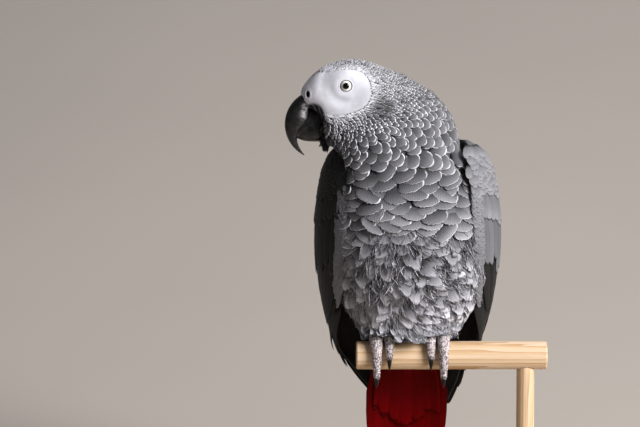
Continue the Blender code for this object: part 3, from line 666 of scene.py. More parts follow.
longVane = vaneShape(*longGrid, 0.6, 0.45, 0.5, 0.05)
primaryVane = vaneShape(*longGrid, 0.6, 0.4, 0.16, 0.02)


def wrapped(points, target):  # the nearest places on the target and the directions out of it
    found = []
    for offset in (0.0, 1.0):
        mesh = bpy.data.meshes.new("probe")
        mesh.vertices.add(len(points))
        mesh.vertices.foreach_set("co", toFrame(points).ravel())
        probe = placed("probe", mesh)
        wrap = probe.modifiers.new("wrap", "SHRINKWRAP")
        wrap.target, wrap.wrap_mode, wrap.offset = target, "ABOVE_SURFACE", offset * mm
        found.append(placesOf(applied(probe)))
        bpy.data.objects.remove(probe)
    return found[0], unit(found[1] - found[0])


def scatter(skin, seed, perPlace=12):
    # Places for the vanes: many random points, thinned in the order of the flow, each kept point
    # clearing an oval of its own spacing, which leaves staggered rows like tiles.
    mesh, chance = skin.data, np.random.default_rng(seed)
    mesh.calc_loop_triangles()
    tri = placesOf(mesh)[valuesOf(mesh.loop_triangles, "vertices", np.int32)]
    cross = np.cross(tri[:, 1] - tri[:, 0], tri[:, 2] - tri[:, 0])
    area = np.linalg.norm(cross, axis=1) / 2
    weight = area / spacingOf(tri.mean(1)) ** 2
    count = int(weight.sum() * perPlace)
    pick = chance.choice(len(tri), count, p=weight / weight.sum())
    a, b = chance.random((2, count))[..., None]
    a, b = np.where(a + b > 1, 1 - a, a), np.where(a + b > 1, 1 - b, b)
    first, second, third = tri[pick].swapaxes(0, 1)
    points = first + a * (second - first) + b * (third - first)
    keep = (faceAway(points) > 0.96) & (cereMask(points) < 0.5) & (gapeMask(points) < 0.5)
    keep &= ~underWing(points)
    points, normals = points[keep], unit(cross[pick])[keep]
    order = np.argsort(flowOf(points))
    points, normals = points[order], normals[order]
    lies = lieOf(points)
    lies = unit(lies - normals * (lies * normals).sum(1, keepdims=True))
    sides = np.cross(normals, lies)
    spacing = spacingOf(points)
    step = stepOf(spacing)
    tree = kdtree.KDTree(len(points))
    for index, point in enumerate(points):
        tree.insert(point, index)
    tree.balance()
    free = np.ones(len(points), bool)
    kept = []
    for index in range(len(points)):
        if free[index]:
            kept.append(index)
            near = np.array([hit[1] for hit in tree.find_range(points[index], 1.15 * spacing[index])])
            away = points[near] - points[index]
            oval = np.hypot(away @ lies[index] / step[index], away @ sides[index] / 1.08)
            free[near[oval < spacing[index]]] = False
    return points[kept], normals[kept], lies[kept], spacing[kept]


def turnedLies(lies, normals, degrees):  # each lie turned about its normal
    angle = np.radians(degrees)[:, None]
    return lies * np.cos(angle) + np.cross(normals, lies) * np.sin(angle)


def vaneMesh(name, shape, points, centre, margin, bake, paintedRootShade, rimStrength, shadeTip=1.0):
    # points: (vane, vertex, 3). centre and margin: one linear colour for each vane. The root is darkened to
    # its share of the colour, partly the feather's own darker base and partly painted shadow under the vane
    # that lies over it; the tip is darkened to its share too, and the underside is darker as painted shade.
    count, size = points.shape[:2]
    loops = (shape["faces"].ravel()[None] + np.arange(count)[:, None] * size).ravel()
    mesh = meshFrom(name, points.reshape(-1, 3), loops, np.arange(len(loops) // 4) * 4)
    paintedRootShade = np.broadcast_to(paintedRootShade, count)[:, None]
    # The root's darkening is partly the feather's darker base and partly painted shadow under the overlapping
    # vane; the underside's darkening is painted shade.
    paintedShade = paintedRootShade + (1 - paintedRootShade) * ease(0.4, 0.95, shape["v"])
    paintedShade = paintedShade * (1 - (1 - shadeTip) * ease(0.35, 0.9, shape["v"]))
    paintedShade = np.where(shape["lower"] > 0, paintedShade * 0.8, paintedShade)
    addColour(mesh, "tone", (centre[:, None] * paintedShade[..., None]).reshape(-1, 3))
    addColour(mesh, "edge", (margin[:, None] * np.ones((1, size, 1))).reshape(-1, 3))
    rim = shape["rim"] * rimStrength * ease(0.3, 0.6, shape["v"])
    addValue(mesh, "rim", np.broadcast_to(rim, (count, size)))
    vane = np.stack([(shape["u"] + 1) / 2, shape["v"]], -1)
    addMap(mesh, "vane", np.broadcast_to(vane, (count, size, 2)).reshape(-1, 2))
    # Each vane bakes to its own small patch, at its root's place on the skin's unwrap.
    addMap(mesh, "OFBake", (bake[:, None] + (vane - 0.5) * bakePatch).reshape(-1, 2))
    return mesh


def headMap(p):  # the head and neck unrolled: the angle about the neck's middle, and the angle about the chin
    dx, dz = off(p, coat["chin"])
    about = np.arctan2(p[..., 1] - headY, np.hypot(dz, dx) - 36.0)
    return np.clip(np.stack([0.5 + about / 6.6, 0.5 + (np.arctan2(dz, dx) - 0.8) / 5.0], -1), 0.004, 0.996)


def trunkMap(p):  # the trunk unrolled: the angle about its axis, and the height
    about = np.arctan2(p[..., 0] + 2.0, 8.0 - p[..., 1])
    return np.clip(np.stack([0.5 + about / 6.6, (p[..., 2] + 40.0) / 200.0], -1), 0.004, 0.996)


def layVanes(name, shape, skin, roots, normals, lies, spacing, options):
    # A vane lies on the skin: the flat outline is laid along the lie and wrapped on to the body, then
    # lifted by depth·(0.12 + 0.88·v^rise) + camber·(1 - u²)·v, with a little chance in each.
    chance = np.random.default_rng(options["seed"])
    count = len(roots)
    u, v, x, y, lower = (shape[key] for key in ("u", "v", "x", "y", "lower"))
    ruffle = 26.0 * hump(roots[:, 0], -24.0, 8.0) * hump(roots[:, 2], 97.0, 17.0)
    calm = 0.35 + 0.65 * ease(10.0, 40.0, roots[:, 2])  # the coat lies smoother low on the belly
    lies = turnedLies(lies, normals, chance.normal(0, 1, count) * (options["twist"] * calm + ruffle))
    side = np.cross(normals, lies)
    length = spacing * stepOf(spacing) * options["length"] * (1 + chance.normal(0, 0.07, count))
    width = spacing * options["width"] * (1 + chance.normal(0, 0.05, count))
    streak = cheekMask(roots)
    length, width = length * (1 + 0.6 * streak), width * (1 - 0.45 * streak)
    x, y = x[None].repeat(count, 0), y[None].repeat(count, 0)
    if "ragged" in options:  # every other column of a plume ends short, and each by its own chance
        column = np.round((u + 1) / 2 * (shape["columns"] - 1)).astype(int)
        short = 0.5 * (column % 2) + chance.random((count, shape["columns"]))[:, column]
        y = y - options["ragged"] * short * v**4
        x = x + (chance.random((count, shape["columns"]))[:, column] - 0.5) * 0.06 * v
    bend = chance.normal(0, options["bend"], count) * spacing
    flat = roots[:, None] + side[:, None] * (x * width[:, None] / 2 + bend[:, None] * y**2)[..., None]
    flat = flat + lies[:, None] * ((y - 0.25) * length[:, None])[..., None]
    on, out = (found.reshape(flat.shape) for found in wrapped(flat.reshape(-1, 3), skin))
    calm, tall = calm[:, None], spacing[:, None]
    slope = 0.12 + 0.88 * v ** options["rise"] + chance.normal(0, options["loose"], (count, 1)) * calm * v
    height = depthOf(roots)[:, None] * slope
    height = height + options["camber"] * tall * (1 - u**2) * v
    height = height + chance.normal(0, 0.035, (count, 1)) * tall * u * v
    height = height - options["curl"] * tall * ease(0.7, 1.0, v)
    height = height + options["lift"] * v**2 * chance.random((count, 1)) * calm - lower * options["thick"]
    points = on + out * np.maximum(height, 0.02)[..., None]
    # Low on the belly the loose vanes leave the body and hang to the perch.
    hang = options["hang"] * ease(22.0, 10.0, roots[:, 2]) * ease(22.0, 8.0, roots[:, 1])
    lowest = np.where(np.abs(np.abs(roots[:, 0]) - coat["legs"]) < 10.0, 5.5, 1.0)[:, None] + 0.6 * u**2
    fall = points[:, :1] + (flat - roots[:, None]) * (1.0, 0.0, 0.0) - out * (0.4 * lower)[:, None]
    fall = fall - (y * length[:, None])[..., None] * (0, 0.34, 0.9)
    fall[..., 2] = np.maximum(fall[..., 2], lowest)
    blend = (hang[:, None] * ease(0.1, 0.9, v))[..., None]
    points = points * (1 - blend) + fall * blend
    centre, margin = greys(roots)
    shade = 1 + chance.normal(0, options["mottle"], count)
    paintedRootShade = options["paintedRootShade"] + (0.95 - options["paintedRootShade"]) * paleMask(roots)
    return vaneMesh(name, shape, points, tint(centre * shade), tint(margin * shade), options["map"](roots),
                    paintedRootShade, options["rimStrength"])


# Wings

wingKeys = (
    # z, x and y of the middle, half width, front and back reach, first and last degree, thickness
    (136, -1.3, 4, 40, 22, 18, -16, 34, 5.5), (131, -1.3, 4, 48.5, 30, 25, -34, 46, 7.5),
    (120, -1.3, 5, 56, 42, 31, -44, 60, 8.5), (102, -1.3, 7, 60.5, 49, 38, -50, 76, 8.0),
    (80, -1.3, 9, 63, 52, 42, -52, 87, 7.0), (60, -1.3, 12, 62.8, 50, 42, -51, 89, 6.0),
    (40, -1.3, 17, 60.8, 44, 40, -47, 89, 5.2), (20, -1.0, 24, 57.3, 36, 35, -38, 88, 4.4),
    (-4, -0.6, 33, 50.6, 24, 29, -18, 84, 3.4), (-26, 0.6, 45, 39.8, 12, 20, -3, 64, 2.6),
    (-36, 3.0, 52, 34.6, 8, 14, 3, 52, 2.2), (-44, 5.3, 58, 28.6, 6, 9, 5, 44, 1.9),
    (-54, 9.0, 65, 21.5, 4, 5, 8, 36, 1.5),
)


def wingFace(side, across, z):
    # The folded wing's outer face: x = middle + side·w·cos φ, y = middle + reach·sin φ, both rounded, with φ
    # running from the front edge (across -1) to the back edge (across 1). Also its outward direction,
    # its thickness, and the millimetres that one unit across spans.
    x, y, width, front, back, first, last, thick = np.moveaxis(through(wingKeys, z), -1, 0)
    phi = np.radians((first + last) / 2 + (last - first) / 2 * across)
    cos, sin = rounded(np.cos(phi), 2.15), rounded(np.sin(phi), 2.15)
    reach = np.where(sin > 0, back, front)
    out = unit(np.stack([side * np.cos(phi) / width, np.sin(phi) / reach, 0 * phi], -1))
    span = np.radians(last - first) / 2 * (width + (front + back) / 2) / 2
    return np.stack([x + side * width * cos, y + reach * sin, z + 0 * phi], -1), out, thick, span


def underWing(p):  # true where a folded wing covers the body
    x, y, width, front, back, first, last, _ = np.moveaxis(through(wingKeys, p[..., 2]), -1, 0)
    b = p[..., 1] - y
    b = b / np.where(b > 0, back, front)
    a = np.abs(p[..., 0] - x) / width
    phi = np.degrees(np.arctan2(rounded(b, 1.86), rounded(a, 1.86)))
    return (phi > first + 22) & (phi < last - 16) & (a > 0.05) & (p[..., 2] < 131) & (p[..., 2] > -54)


wing = {
    "coatDepth": 1.2, "highest": 132.5, "lowest": -53.0,
    "lengths": {"primaries": ((0, 0.55, 1), (0.6, 0.92, 0.62)),
                "secondaries": ((0, 0.5, 1), (0.75, 1.0, 1.0))},
    "rows": (
        # name, shape, how many, root z at the front and back edge, first and last across, length, width,
        # grey, margin, the tip's share of the vane's brightness, and how far out it lies
        ("primaries", primaryVane, 13, 30, -16, -0.93, 0.62, 66, 12, 34, 16, 0.7, 0.0),
        ("secondaries", longVane, 18, 76, 40, -0.84, 0.9, 76, 10.0, 124, 20, 0.4, 0.1),
        ("greater coverts", longVane, 19, 96, 74, -0.84, 0.95, 44, 9.0, 112, 60, 0.75, 0.2),
        ("median coverts", covertVane, 21, 106, 91, -0.86, 0.96, 22, 8.4, 124, 128, 1.0, 0.3),
        *((f"lesser coverts {row}", covertVane, 32 - row % 2, 110 + 3.5 * row, 101 + 4.7 * row,
           -0.93 - 0.03 * row + 0.02 * (row % 2), 0.97, 10.6 - 0.4 * row, 6.2 - 0.2 * row, 130, 140, 1.0,
           0.3 + 0.02 * row) for row in range(8)),
        *((f"leading strip {row}", covertVane, 62 - row, 109 - row, 30 + 5 * row, -0.96 + 0.03 * row,
           -0.95 + 0.03 * row, 7.4, 3.0, 124, 132, 1.0, 0.4 - 0.03 * row) for row in range(4)),
    ),
}


def wingCore(side, word, options, material):
    # A thin closed body under the vanes: the outer face drawn in by the coat's depth, and an inner face
    # that comes nearer to it towards the edges.
    rows, columns = 64, 26
    z = np.linspace(135.2, -49.0, rows)[:, None].repeat(columns, 1)
    across = np.linspace(-0.98, 0.98, columns) * (1 - 0.25 * ease(0.0, -25.0, z))
    face, out, thick, _ = wingFace(side, across, z)
    outer = -np.minimum(options["coatDepth"], 0.4 * thick)
    inner = -thick * (0.25 + 0.7 * np.sqrt(1 - np.abs(across) ** 3))
    points = np.concatenate([(face + out * (depth - 1.8 * ease(-8.0, -22.0, z))[..., None]).reshape(-1, 3)
                             for depth in (outer, inner)])
    grid = np.arange(z.size).reshape(z.shape)
    ring = np.concatenate([grid[:, 0], grid[-1, 1:], grid[-2::-1, -1], grid[0, -2:0:-1]])
    after = np.roll(ring, -1)
    quads, edge = gridLoops(rows, columns), np.stack([ring, after, after + z.size, ring + z.size], 1)
    faces = np.concatenate([quads, quads[:, ::-1] + z.size, edge])
    mesh = meshFrom(f"wing core {word}", points, faces.ravel(), np.arange(len(faces)) * 4)
    cleaned(mesh)
    grey = np.interp(points[:, 2], (-20, 30, 70, 110), (30, 44, 70, 96))
    addColour(mesh, "tone", tint(grey))
    addColour(mesh, "edge", tint(grey))
    addValue(mesh, "rim", 0 * grey)
    flat = np.stack([(np.tile(across.ravel(), 2) + 1) / 2, (points[:, 2] + 60) / 200], -1)
    addMap(mesh, "vane", flat * 8 % 1)
    beside = np.repeat(((0, 0), (0.5, 0)), z.size, axis=0)  # the inner face lies beside the outer one
    addMap(mesh, "OFBake", flat * (0.48, 0.98) + 0.01 + beside)
    finished(mesh, f"wing_core_{word}", material, "dark_feather", f"wing_{word}", f"primaries_{word}")


def wingPart(side, word, options, greyVane, darkVane):
    chance = np.random.default_rng(40 + side)
    wingCore(side, word, options, darkVane)
    meshes = {"flight": [], "coverts": []}
    for row in options["rows"]:
        name, shape, count, zFront, zBack, first, last, length, width, grey, margin, shadeTip, lift = row
        u, v, y = shape["u"], shape["v"], shape["y"]
        share = np.linspace(0, 1, count)
        a0 = first + (last - first) * share + chance.normal(0, 0.012, count)
        uneven = 1.5 if "lesser" in name else 0.4 + 0.04 * length
        z0 = zFront + (zBack - zFront) * share + chance.normal(0, uneven, count)
        z0 = np.minimum(z0, options["highest"])
        long = length * (1 + chance.normal(0, 0.05, count))
        long = long * np.interp(share, *options["lengths"].get(name, ((0, 1), (1, 1))))
        lean = -0.12 * a0 * length / 70.0
        z = np.maximum(z0[:, None] - y * long[:, None], options["lowest"] + 1.5 * np.abs(u))
        across = a0[:, None] + lean[:, None] * y
        span = np.maximum(wingFace(side, across, z)[3], 6.0)
        across = np.clip(across + shape["x"] * width / 2 / span, -1.22, 1.03)
        face, out, thick, _ = wingFace(side, across, z)
        deep = np.minimum(options["coatDepth"], 0.45 * thick)
        # The vane nearer the back lies over the one before it, with its front edge showing.
        lifted = deep * (-0.85 + 0.75 * v**0.8) + lift + 0.16 * deep * u
        lifted = lifted + 0.03 * width * (1 - u**2) * ease(0, 0.3, v) - shape["lower"] * 0.25
        if name == "primaries":  # the tips part and stand off a little
            lifted = lifted + 3.0 * chance.random((count, 1)) * ease(0.6, 1.0, v)
        tone = grey * (1 + chance.normal(0, 0.03, count))
        if side < 0 and "leading" not in name:  # painted shade: the bird's right wing, turned from the key lamp, is darkened towards its front edge, and its margins with it
            tone = tone * (0.24 + 0.56 * ease(-0.3, 0.7, a0))
            margin = margin * 0.35
        if name == "secondaries":  # painted shadow in the gap just behind the leading strip, then every other vane darker
            tone = tone * np.interp(share, (0, 0.14, 0.2), (0.3, 0.3, 1.0))
            tone = tone * (1 - 0.65 * (np.arange(count) % 2) * ease(0.75, 0.5, share))
        bake = np.clip(np.stack([(a0 + 1) / 2, (z0 + 60) / 200], -1), 0.01, 0.99)
        kind = "flight" if name in options["lengths"] else "coverts"
        meshes[kind].append(vaneMesh(name, shape, face + out * lifted[..., None], tint(tone),
                                     tint(margin + 0 * tone), bake, 0.6, 0.8, shadeTip))
    for kind, material, slot in (("flight", darkVane, "dark_feather"), ("coverts", greyVane, "grey_feather")):
        finished(joined(f"{kind} {word}", meshes[kind]), f"{kind}_{word}", material, slot)


print("scene: studio")
buildStudio(studio)

greyVane = featherMaterial("powdered grey feather", feather)
downVane = featherMaterial("loose grey down", down)
darkVane = featherMaterial("slate flight feather", flight)
redVane = featherMaterial("scarlet tail feather", scarlet)
bareSkin = skinMaterial()


# Skin and coat

flesh = {
    "nodes": ("head", "neck", "trunk", "thigh_left", "thigh_right"),
    "bareGrey": 208,
    "voxel": 1.5, "swell": 0.5, "smoothing": 24,
    "finer": (27.0, 10.0),  # reach about the eyes of each subdivision
    "lid": (4.1, 18.0),  # the opening's radius, and how far out the lids lie
    "bowl": 17.0,  # radius of the sunken ring
    "fold": (8.6, 2.4, -2.35, 0.2),  # painted shade of a fold below the eye: radius, half width, direction in radians, how dark
    "nostril": (-68.3, 166.2, 1.1, 2.0),  # x, z, half width, half height
    "nostrilDepth": 2.2, "cereSwell": 0.25,
    "wrinkles": (-72.0, 151.0),  # the middle of the arcs at the gape
}


def skinPart(options, material):
    # The flesh solids, swollen until they overlap, become one surface by remeshing, which is then
    # smoothed, made finer on the face, and drawn in by the coat's depth.
    work = bmesh.new()
    for name in options["nodes"] + ("eye_left", "eye_right"):
        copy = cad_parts[name].data.copy()
        cleaned(copy, 0.01)
        swell = valuesOf(copy.vertex_normals, "vector") * options["swell"] * mm
        copy.vertices.foreach_set("co", (valuesOf(copy.vertices, "co") + swell).ravel())
        work.from_mesh(copy)
        bpy.data.meshes.remove(copy)
    mesh = bpy.data.meshes.new("skin")
    work.to_mesh(mesh)
    work.free()
    mesh.materials.clear()
    skin = placed("skin", mesh)
    one = skin.modifiers.new("one surface", "REMESH")
    one.mode, one.voxel_size, one.use_smooth_shade = "VOXEL", options["voxel"] * mm, True
    soft = skin.modifiers.new("soft", "SMOOTH")
    soft.factor, soft.iterations = 0.5, options["smoothing"]
    mesh = applied(skin)
    bpy.data.objects.remove(skin)
    work = bmesh.new()
    work.from_mesh(mesh)
    for reach in options["finer"]:  # finer on the face, and again round the eyes and nostrils
        edges = [edge for edge in work.edges if all(finePlace(vertex.co, reach) for vertex in edge.verts)]
        bmesh.ops.subdivide_edges(work, edges=edges, cuts=1, use_grid_fill=True)
    bmesh.ops.triangulate(work, faces=[face for face in work.faces if len(face.verts) > 4])
    work.to_mesh(mesh)
    work.free()
    p, out = placesOf(mesh), valuesOf(mesh.vertex_normals, "vector")
    p = p - out * (depthOf(p) + 0.1)[:, None]
    p = p + out * (options["cereSwell"] * cereMask(p))[:, None]
    p, pitAndFoldShade = faceDetail(p, options)
    mesh.vertices.foreach_set("co", toFrame(p).ravel())
    mesh.update()
    mesh.shade_smooth()
    centre = greys(p)[0]
    bare = np.maximum(1 - ease(0.97, 1.25, faceAway(p)), cereMask(p))
    # Painted shade: the skin under the coat is darker than the vanes' centres, so that gaps between the vanes
    # look shaded.
    grey = centre * (0.92 - 0.3 * ease(1.1, 1.6, faceAway(p))) * (1 - bare)
    # Painted light: the bare face is lighter towards the bill and a little darker behind it, against the way
    # the key lamp falls across it.
    paintedFaceLight = 18 * ease(-45.0, -66.0, p[:, 0]) - 6 * ease(-42.0, -30.0, p[:, 0])
    grey = grey + (options["bareGrey"] + paintedFaceLight) * bare
    # Painted shade under the folded wings.
    grey = grey * (1 - 0.5 * underWing(p))
    gape = gapeMask(p)
    arcs = 0.5 + 0.5 * np.sin(np.hypot(*off(p, options["wrinkles"])) * 2.6 + 0.8 * np.sin(p[:, 2] * 0.9))
    grey = grey * (1 - gape) + (24 + (20 + 70 * ease(148.0, 156.0, p[:, 2])) * arcs**3) * gape
    # The tone is darkened by painted shade in the nostril pits and the fold below each eye.
    addColour(mesh, "tone", tint(grey * (1 - pitAndFoldShade)))
    flat = np.where(p[:, 2:] > 118.0, headMap(p) * (1, 0.5) + (0, 0.5), trunkMap(p) * (1, 0.5))
    addMap(mesh, "OFBake", flat)
    return finished(mesh, "skin", material, "face_feather", *options["nodes"])


def finePlace(spot, reach):  # near an eye or a nostril, and off the middle of the head
    x, y, z = (spot[k] / mm - birdOrigin[k] for k in range(3))
    atEye = math.hypot(x - eyeCentre[0], z - eyeCentre[2]) < reach
    atNostril = math.hypot(x - flesh["nostril"][0], z - flesh["nostril"][1]) < reach * 0.6
    return (atEye or atNostril) and abs(y - headY) > 6.0


def faceDetail(p, options):
    # Lids: near each eye the skin sinks in a shallow bowl to the lid's edge and then drops behind the ball.
    # Nostrils: an oval pit with a raised lip. Returns the places and how dark each one is: painted shade
    # inside the nostril pits and in a fold below each eye.
    opening, lidOut = options["lid"]
    dx, dz = off(p, eyeCentre[::2])
    away = np.hypot(dx, dz)
    out = np.abs(p[:, 1] - headY)
    side = np.sign(p[:, 1] - headY)
    lateral = (out > 8.0) & (away < options["bowl"])
    bowl = 1 - ease(opening, options["bowl"], away)
    level = out * (1 - bowl) + lidOut * bowl
    level = np.where(away < opening, eyeOut - 2.0, level)
    newOut = np.where(lateral, level, out)
    # Painted shade of a fold below the eye.
    foldOut, foldWide, foldWay, foldShade = options["fold"]
    below = ease(0.1, 0.9, np.cos(np.arctan2(dz, dx) - foldWay))
    shade = foldShade * hump(away, foldOut, foldWide) * below
    *middle, wide, high = options["nostril"]
    dx, dz = off(p, middle)
    reach = np.hypot(dx / wide, dz / high)
    pit = ease(1.25, 0.7, reach) * (out > 3.0)
    lip = hump(reach, 1.6, 0.4) * 0.2 * (out > 3.0)
    newOut = newOut - options["nostrilDepth"] * pit + lip
    moved = p.copy()
    moved[:, 1] = headY + side * newOut
    # The returned darkness is painted shade inside the nostril pit and in the fold below the eye.
    return moved, np.clip(0.93 * ease(1.3, 0.85, reach) * (out > 3.0) + shade, 0, 0.95)


print("scene: skin")
skin = skinPart(flesh, bareSkin)

print("scene: coat")
roots, normals, lies, spacing = scatter(skin, 3)
print("scene: places for vanes", len(roots))
loose = fringeOf(roots) + draw.normal(0, 0.12, len(roots))
small, plume = spacing < 3.6, loose > 0.5
scales = {
    "seed": 11, "map": headMap,
    "length": 3.0, "width": 1.45,  # as multiples of the rows' step and of the spacing
    "twist": 5.0, "loose": 0.08, "mottle": 0.05,  # chance in each vane's direction, height and grey
    "rise": 1.0, "camber": 0.09, "curl": 0.02, "thick": 0.2, "bend": 0.0, "lift": 0.0, "hang": 0.0,
    "paintedRootShade": 0.3, "rimStrength": 1.0,
}
high = roots[:, 2] > 118.0
groups = (
    ("crown_feathers", tinyVane, small & high, {"seed": 12, "twist": 9.0, "mottle": 0.08, "thick": 0.06}),
    ("neck_feathers", scaleVane, ~small & high & ~plume, {
        "twist": 8.0, "loose": 0.14, "width": 1.4, "length": 3.6}),
    ("body_feathers", broadVane, ~plume & ~high, {
        "seed": 13, "map": trunkMap, "rimStrength": 0.9, "width": 1.75, "twist": 12.0, "length": 3.3,
        "loose": 0.28, "ragged": 0.05}),
    ("plumes", plumeVane, plume, {
        "seed": 14, "map": trunkMap, "twist": 22.0, "length": 5.4, "width": 1.3, "loose": 0.35, "thick": 0.1,
        "ragged": 0.06, "bend": 0.1, "camber": 0.15, "curl": 0.03, "rimStrength": 0.1, "mottle": 0.07,
        "paintedRootShade": 0.2, "lift": 1.2, "hang": 1.0}),
)
for name, shape, chosen, changes in groups:
    mesh = layVanes(name, shape, skin, roots[chosen], normals[chosen], lies[chosen], spacing[chosen],
                    {**scales, **changes})
    finished(mesh, name, downVane if name in ("plumes", "body_feathers") else greyVane, "grey_feather")
    print("scene:", name, int(chosen.sum()), "vanes,", 2 * len(mesh.polygons), "triangles")
wisps = {**scales, "seed": 15, "map": trunkMap, "twist": 20.0, "length": 4.0, "width": 0.042, "loose": 0.3,
         "bend": 0.2, "camber": 0.0, "curl": 0.0, "rimStrength": 0.0, "mottle": 0.15, "paintedRootShade": 0.95,
         "lift": 1.3, "rise": 0.8, "hang": 1.0, "perVane": 24}
tuft = np.repeat(np.flatnonzero(loose > 0.3), wisps["perVane"])
along, across = (draw.normal(0, 0.45, (2, len(tuft))) * spacing[tuft])[..., None]
strayRoots = roots[tuft] + lies[tuft] * along + np.cross(normals[tuft], lies[tuft]) * across
mesh = layVanes("wisps", wispVane, skin, strayRoots, normals[tuft], lies[tuft], spacing[tuft], wisps)
finished(mesh, "wisps", downVane, "grey_feather")
print("scene: wisps", len(tuft), "barbs,", 2 * len(mesh.polygons), "triangles")


def chinTufts(skin, material, count=190):
    # Ragged dark tufts behind the lower bill and under the chin; their near-black is partly painted shadow
    # under the jaw. Each is a narrow vane from its root: P = root + way·y·length + side·x·width/2, drooping
    # as y².
    z = draw.uniform(121.0, 146.0, count)
    x = np.interp(z, (121, 136, 146), (-57.0, -60.0, -58.0)) + draw.uniform(-2.5, 3.0, count)
    y = headY + draw.uniform(-13.0, 13.0, count)
    roots, normals = wrapped(np.stack([x, y, z], -1), skin)
    ways = unit(normals * 0.35 + np.array((-0.35, 0.0, -0.9)) + draw.normal(0, 0.2, (count, 3)))
    lengths, widths = (draw.uniform(*bounds, count)[:, None, None] for bounds in ((3.0, 6.0), (0.8, 1.9)))
    # Near-black, partly painted shadow under the jaw.
    tone = tint(draw.uniform(16, 40, count))
    side = unit(np.cross(ways, (0.3, 1.0, 0.1)))
    x, y, lower = (wispVane[key][:, None] for key in ("x", "y", "lower"))
    points = roots[:, None] + ways[:, None] * y * lengths + side[:, None] * x * widths / 2
    points = points - np.array((0.0, 0.0, 0.12)) * lengths * y**2
    points = points + np.cross(ways, side)[:, None] * 0.2 * lower
    mesh = vaneMesh("chin tufts", wispVane, points, tone, tone, headMap(roots), 0.8, 0.0)
    finished(mesh, "chin_tufts", material, "grey_feather")


chinTufts(skin, greyVane)

print("scene: wings")
for side, word in ((1, "left"), (-1, "right")):
    wingPart(side, word, wing, greyVane, darkVane)


# Eyes

eye = {
    "corneaReach": 3.6, "corneaRise": 0.8,  # half width of the clear dome over the iris, and its height
    "lidOuter": 1.5, "lidThick": 0.3,
    "around": 64, "lidSteps": 96,
}


def eyePart(side, word, options, ballMaterial, lidMaterial):
    # The ball: rings of latitude about the eye's axis, r = R + rise·(1 - (off/reach)²) over the iris.
    centre = np.array((eyeCentre[0], headY - side * (eyeOut + 0.4), eyeCentre[2]))
    around = options["around"]
    angle = np.linspace(0.02, math.pi - 0.02, 72)
    reach = eyeRadius * np.sin(angle)
    dome = np.where(angle < math.pi / 2, np.clip(1 - (reach / options["corneaReach"]) ** 2, 0, 1), 0)
    radius = eyeRadius - options["corneaRise"] * 0.5 + options["corneaRise"] * dome
    turn = circle(around)
    ring = np.stack([np.cos(turn), 0 * turn, np.sin(turn)], 1)
    out = np.array((0.0, -side, 0.0))
    ways = np.sin(angle)[:, None, None] * ring + np.cos(angle)[:, None, None] * out
    mesh = meshFrom(f"eyeball {word}", *closedLoft(centre + radius[:, None, None] * ways))
    shown = np.where(angle < math.pi / 2, reach, 9.0)  # the back of the ball is as dark as the iris's rim
    addValue(mesh, "offAxis", np.append(np.repeat(shown, around), [0.0, 9.0]))
    cleaned(mesh)
    finished(mesh, f"eyeball_{word}", ballMaterial, "iris", f"eye_{word}")
    # The lids: a soft ring about the opening, with the section (middle + a·cos, middle + b·sin).
    opening, lidOut = flesh["lid"]
    section = circle(28)
    inner, outer = opening - 0.25, opening + options["lidOuter"]
    across = (inner + outer) / 2 + (outer - inner) / 2 * rounded(np.cos(section), 2.4)
    soft = options["lidThick"] * rounded(np.sin(section), 2.2) * ease(outer, inner + 0.9, across)
    height = lidOut - 0.15 - 0.05 * (across - inner) + soft
    turn = circle(options["lidSteps"])
    wrinkle = 1 + 0.005 * np.sin(turn * 23) + 0.006 * np.sin(turn * 11 + 1)
    high = 1 - 0.05 * np.abs(np.sin(turn))  # the opening is a little wider than high
    x = eyeCentre[0] + across * (np.cos(turn) * wrinkle)[:, None]
    z = eyeCentre[2] + across * (np.sin(turn) * wrinkle * high)[:, None]
    y = headY - side * height + 0 * x
    points = np.stack([x, y, z], -1)
    loops = gridLoops(len(turn) + 1, len(section), closed=True) % x.size
    mesh = meshFrom(f"lids {word}", points.reshape(-1, 3), loops.ravel(), np.arange(len(loops)) * 4)
    tone = flesh["bareGrey"] + 4 - 90 * ease(inner + 0.5, inner + 0.2, across)
    addColour(mesh, "tone", tint(np.tile(tone, len(turn))))
    cleaned(mesh)
    finished(mesh, f"lids_{word}", lidMaterial, "face_feather")


# Bill

bill = {
    "centre": (-60.8, 146.0), "radius": 23.0, "start": 106.0, "end": 244.0,  # the culmen's arc, in degrees
    "halfWidth": 8.8, "ridge": 0.28,
    "depths": ((106, 8.0), (114, 9.0), (125, 11.0), (135, 13.0), (148, 14.5), (165, 15.5), (180, 15.0),
               (195, 11.3), (207, 7.6), (214, 5.4), (225, 3.4), (236, 1.8), (244, 0.5)),
    "steps": 150, "around": 88,
    "jawCentre": (-67.5, 146.5),
    "jawOutline": ((-180, 11.5), (-140, 12.6), (-110, 12.0), (-85, 12.0), (-48, 13.8), (0, 10.8), (50, 11.0),
                   (100, 10.5), (150, 10.0), (180, 11.5)),
    "jawWear": (-77.5, 139.5),  # x and z of the rubbed tip
    "jawWidths": ((-80, 4.2), (-79, 4.6), (-58, 8.4), (-56, 8.4)),  # x, and half width there
    "pale": (-70.6, 154.5, 1.9, 5.0),  # the dry pale streak beside the gape: x, z, half width, half height
}


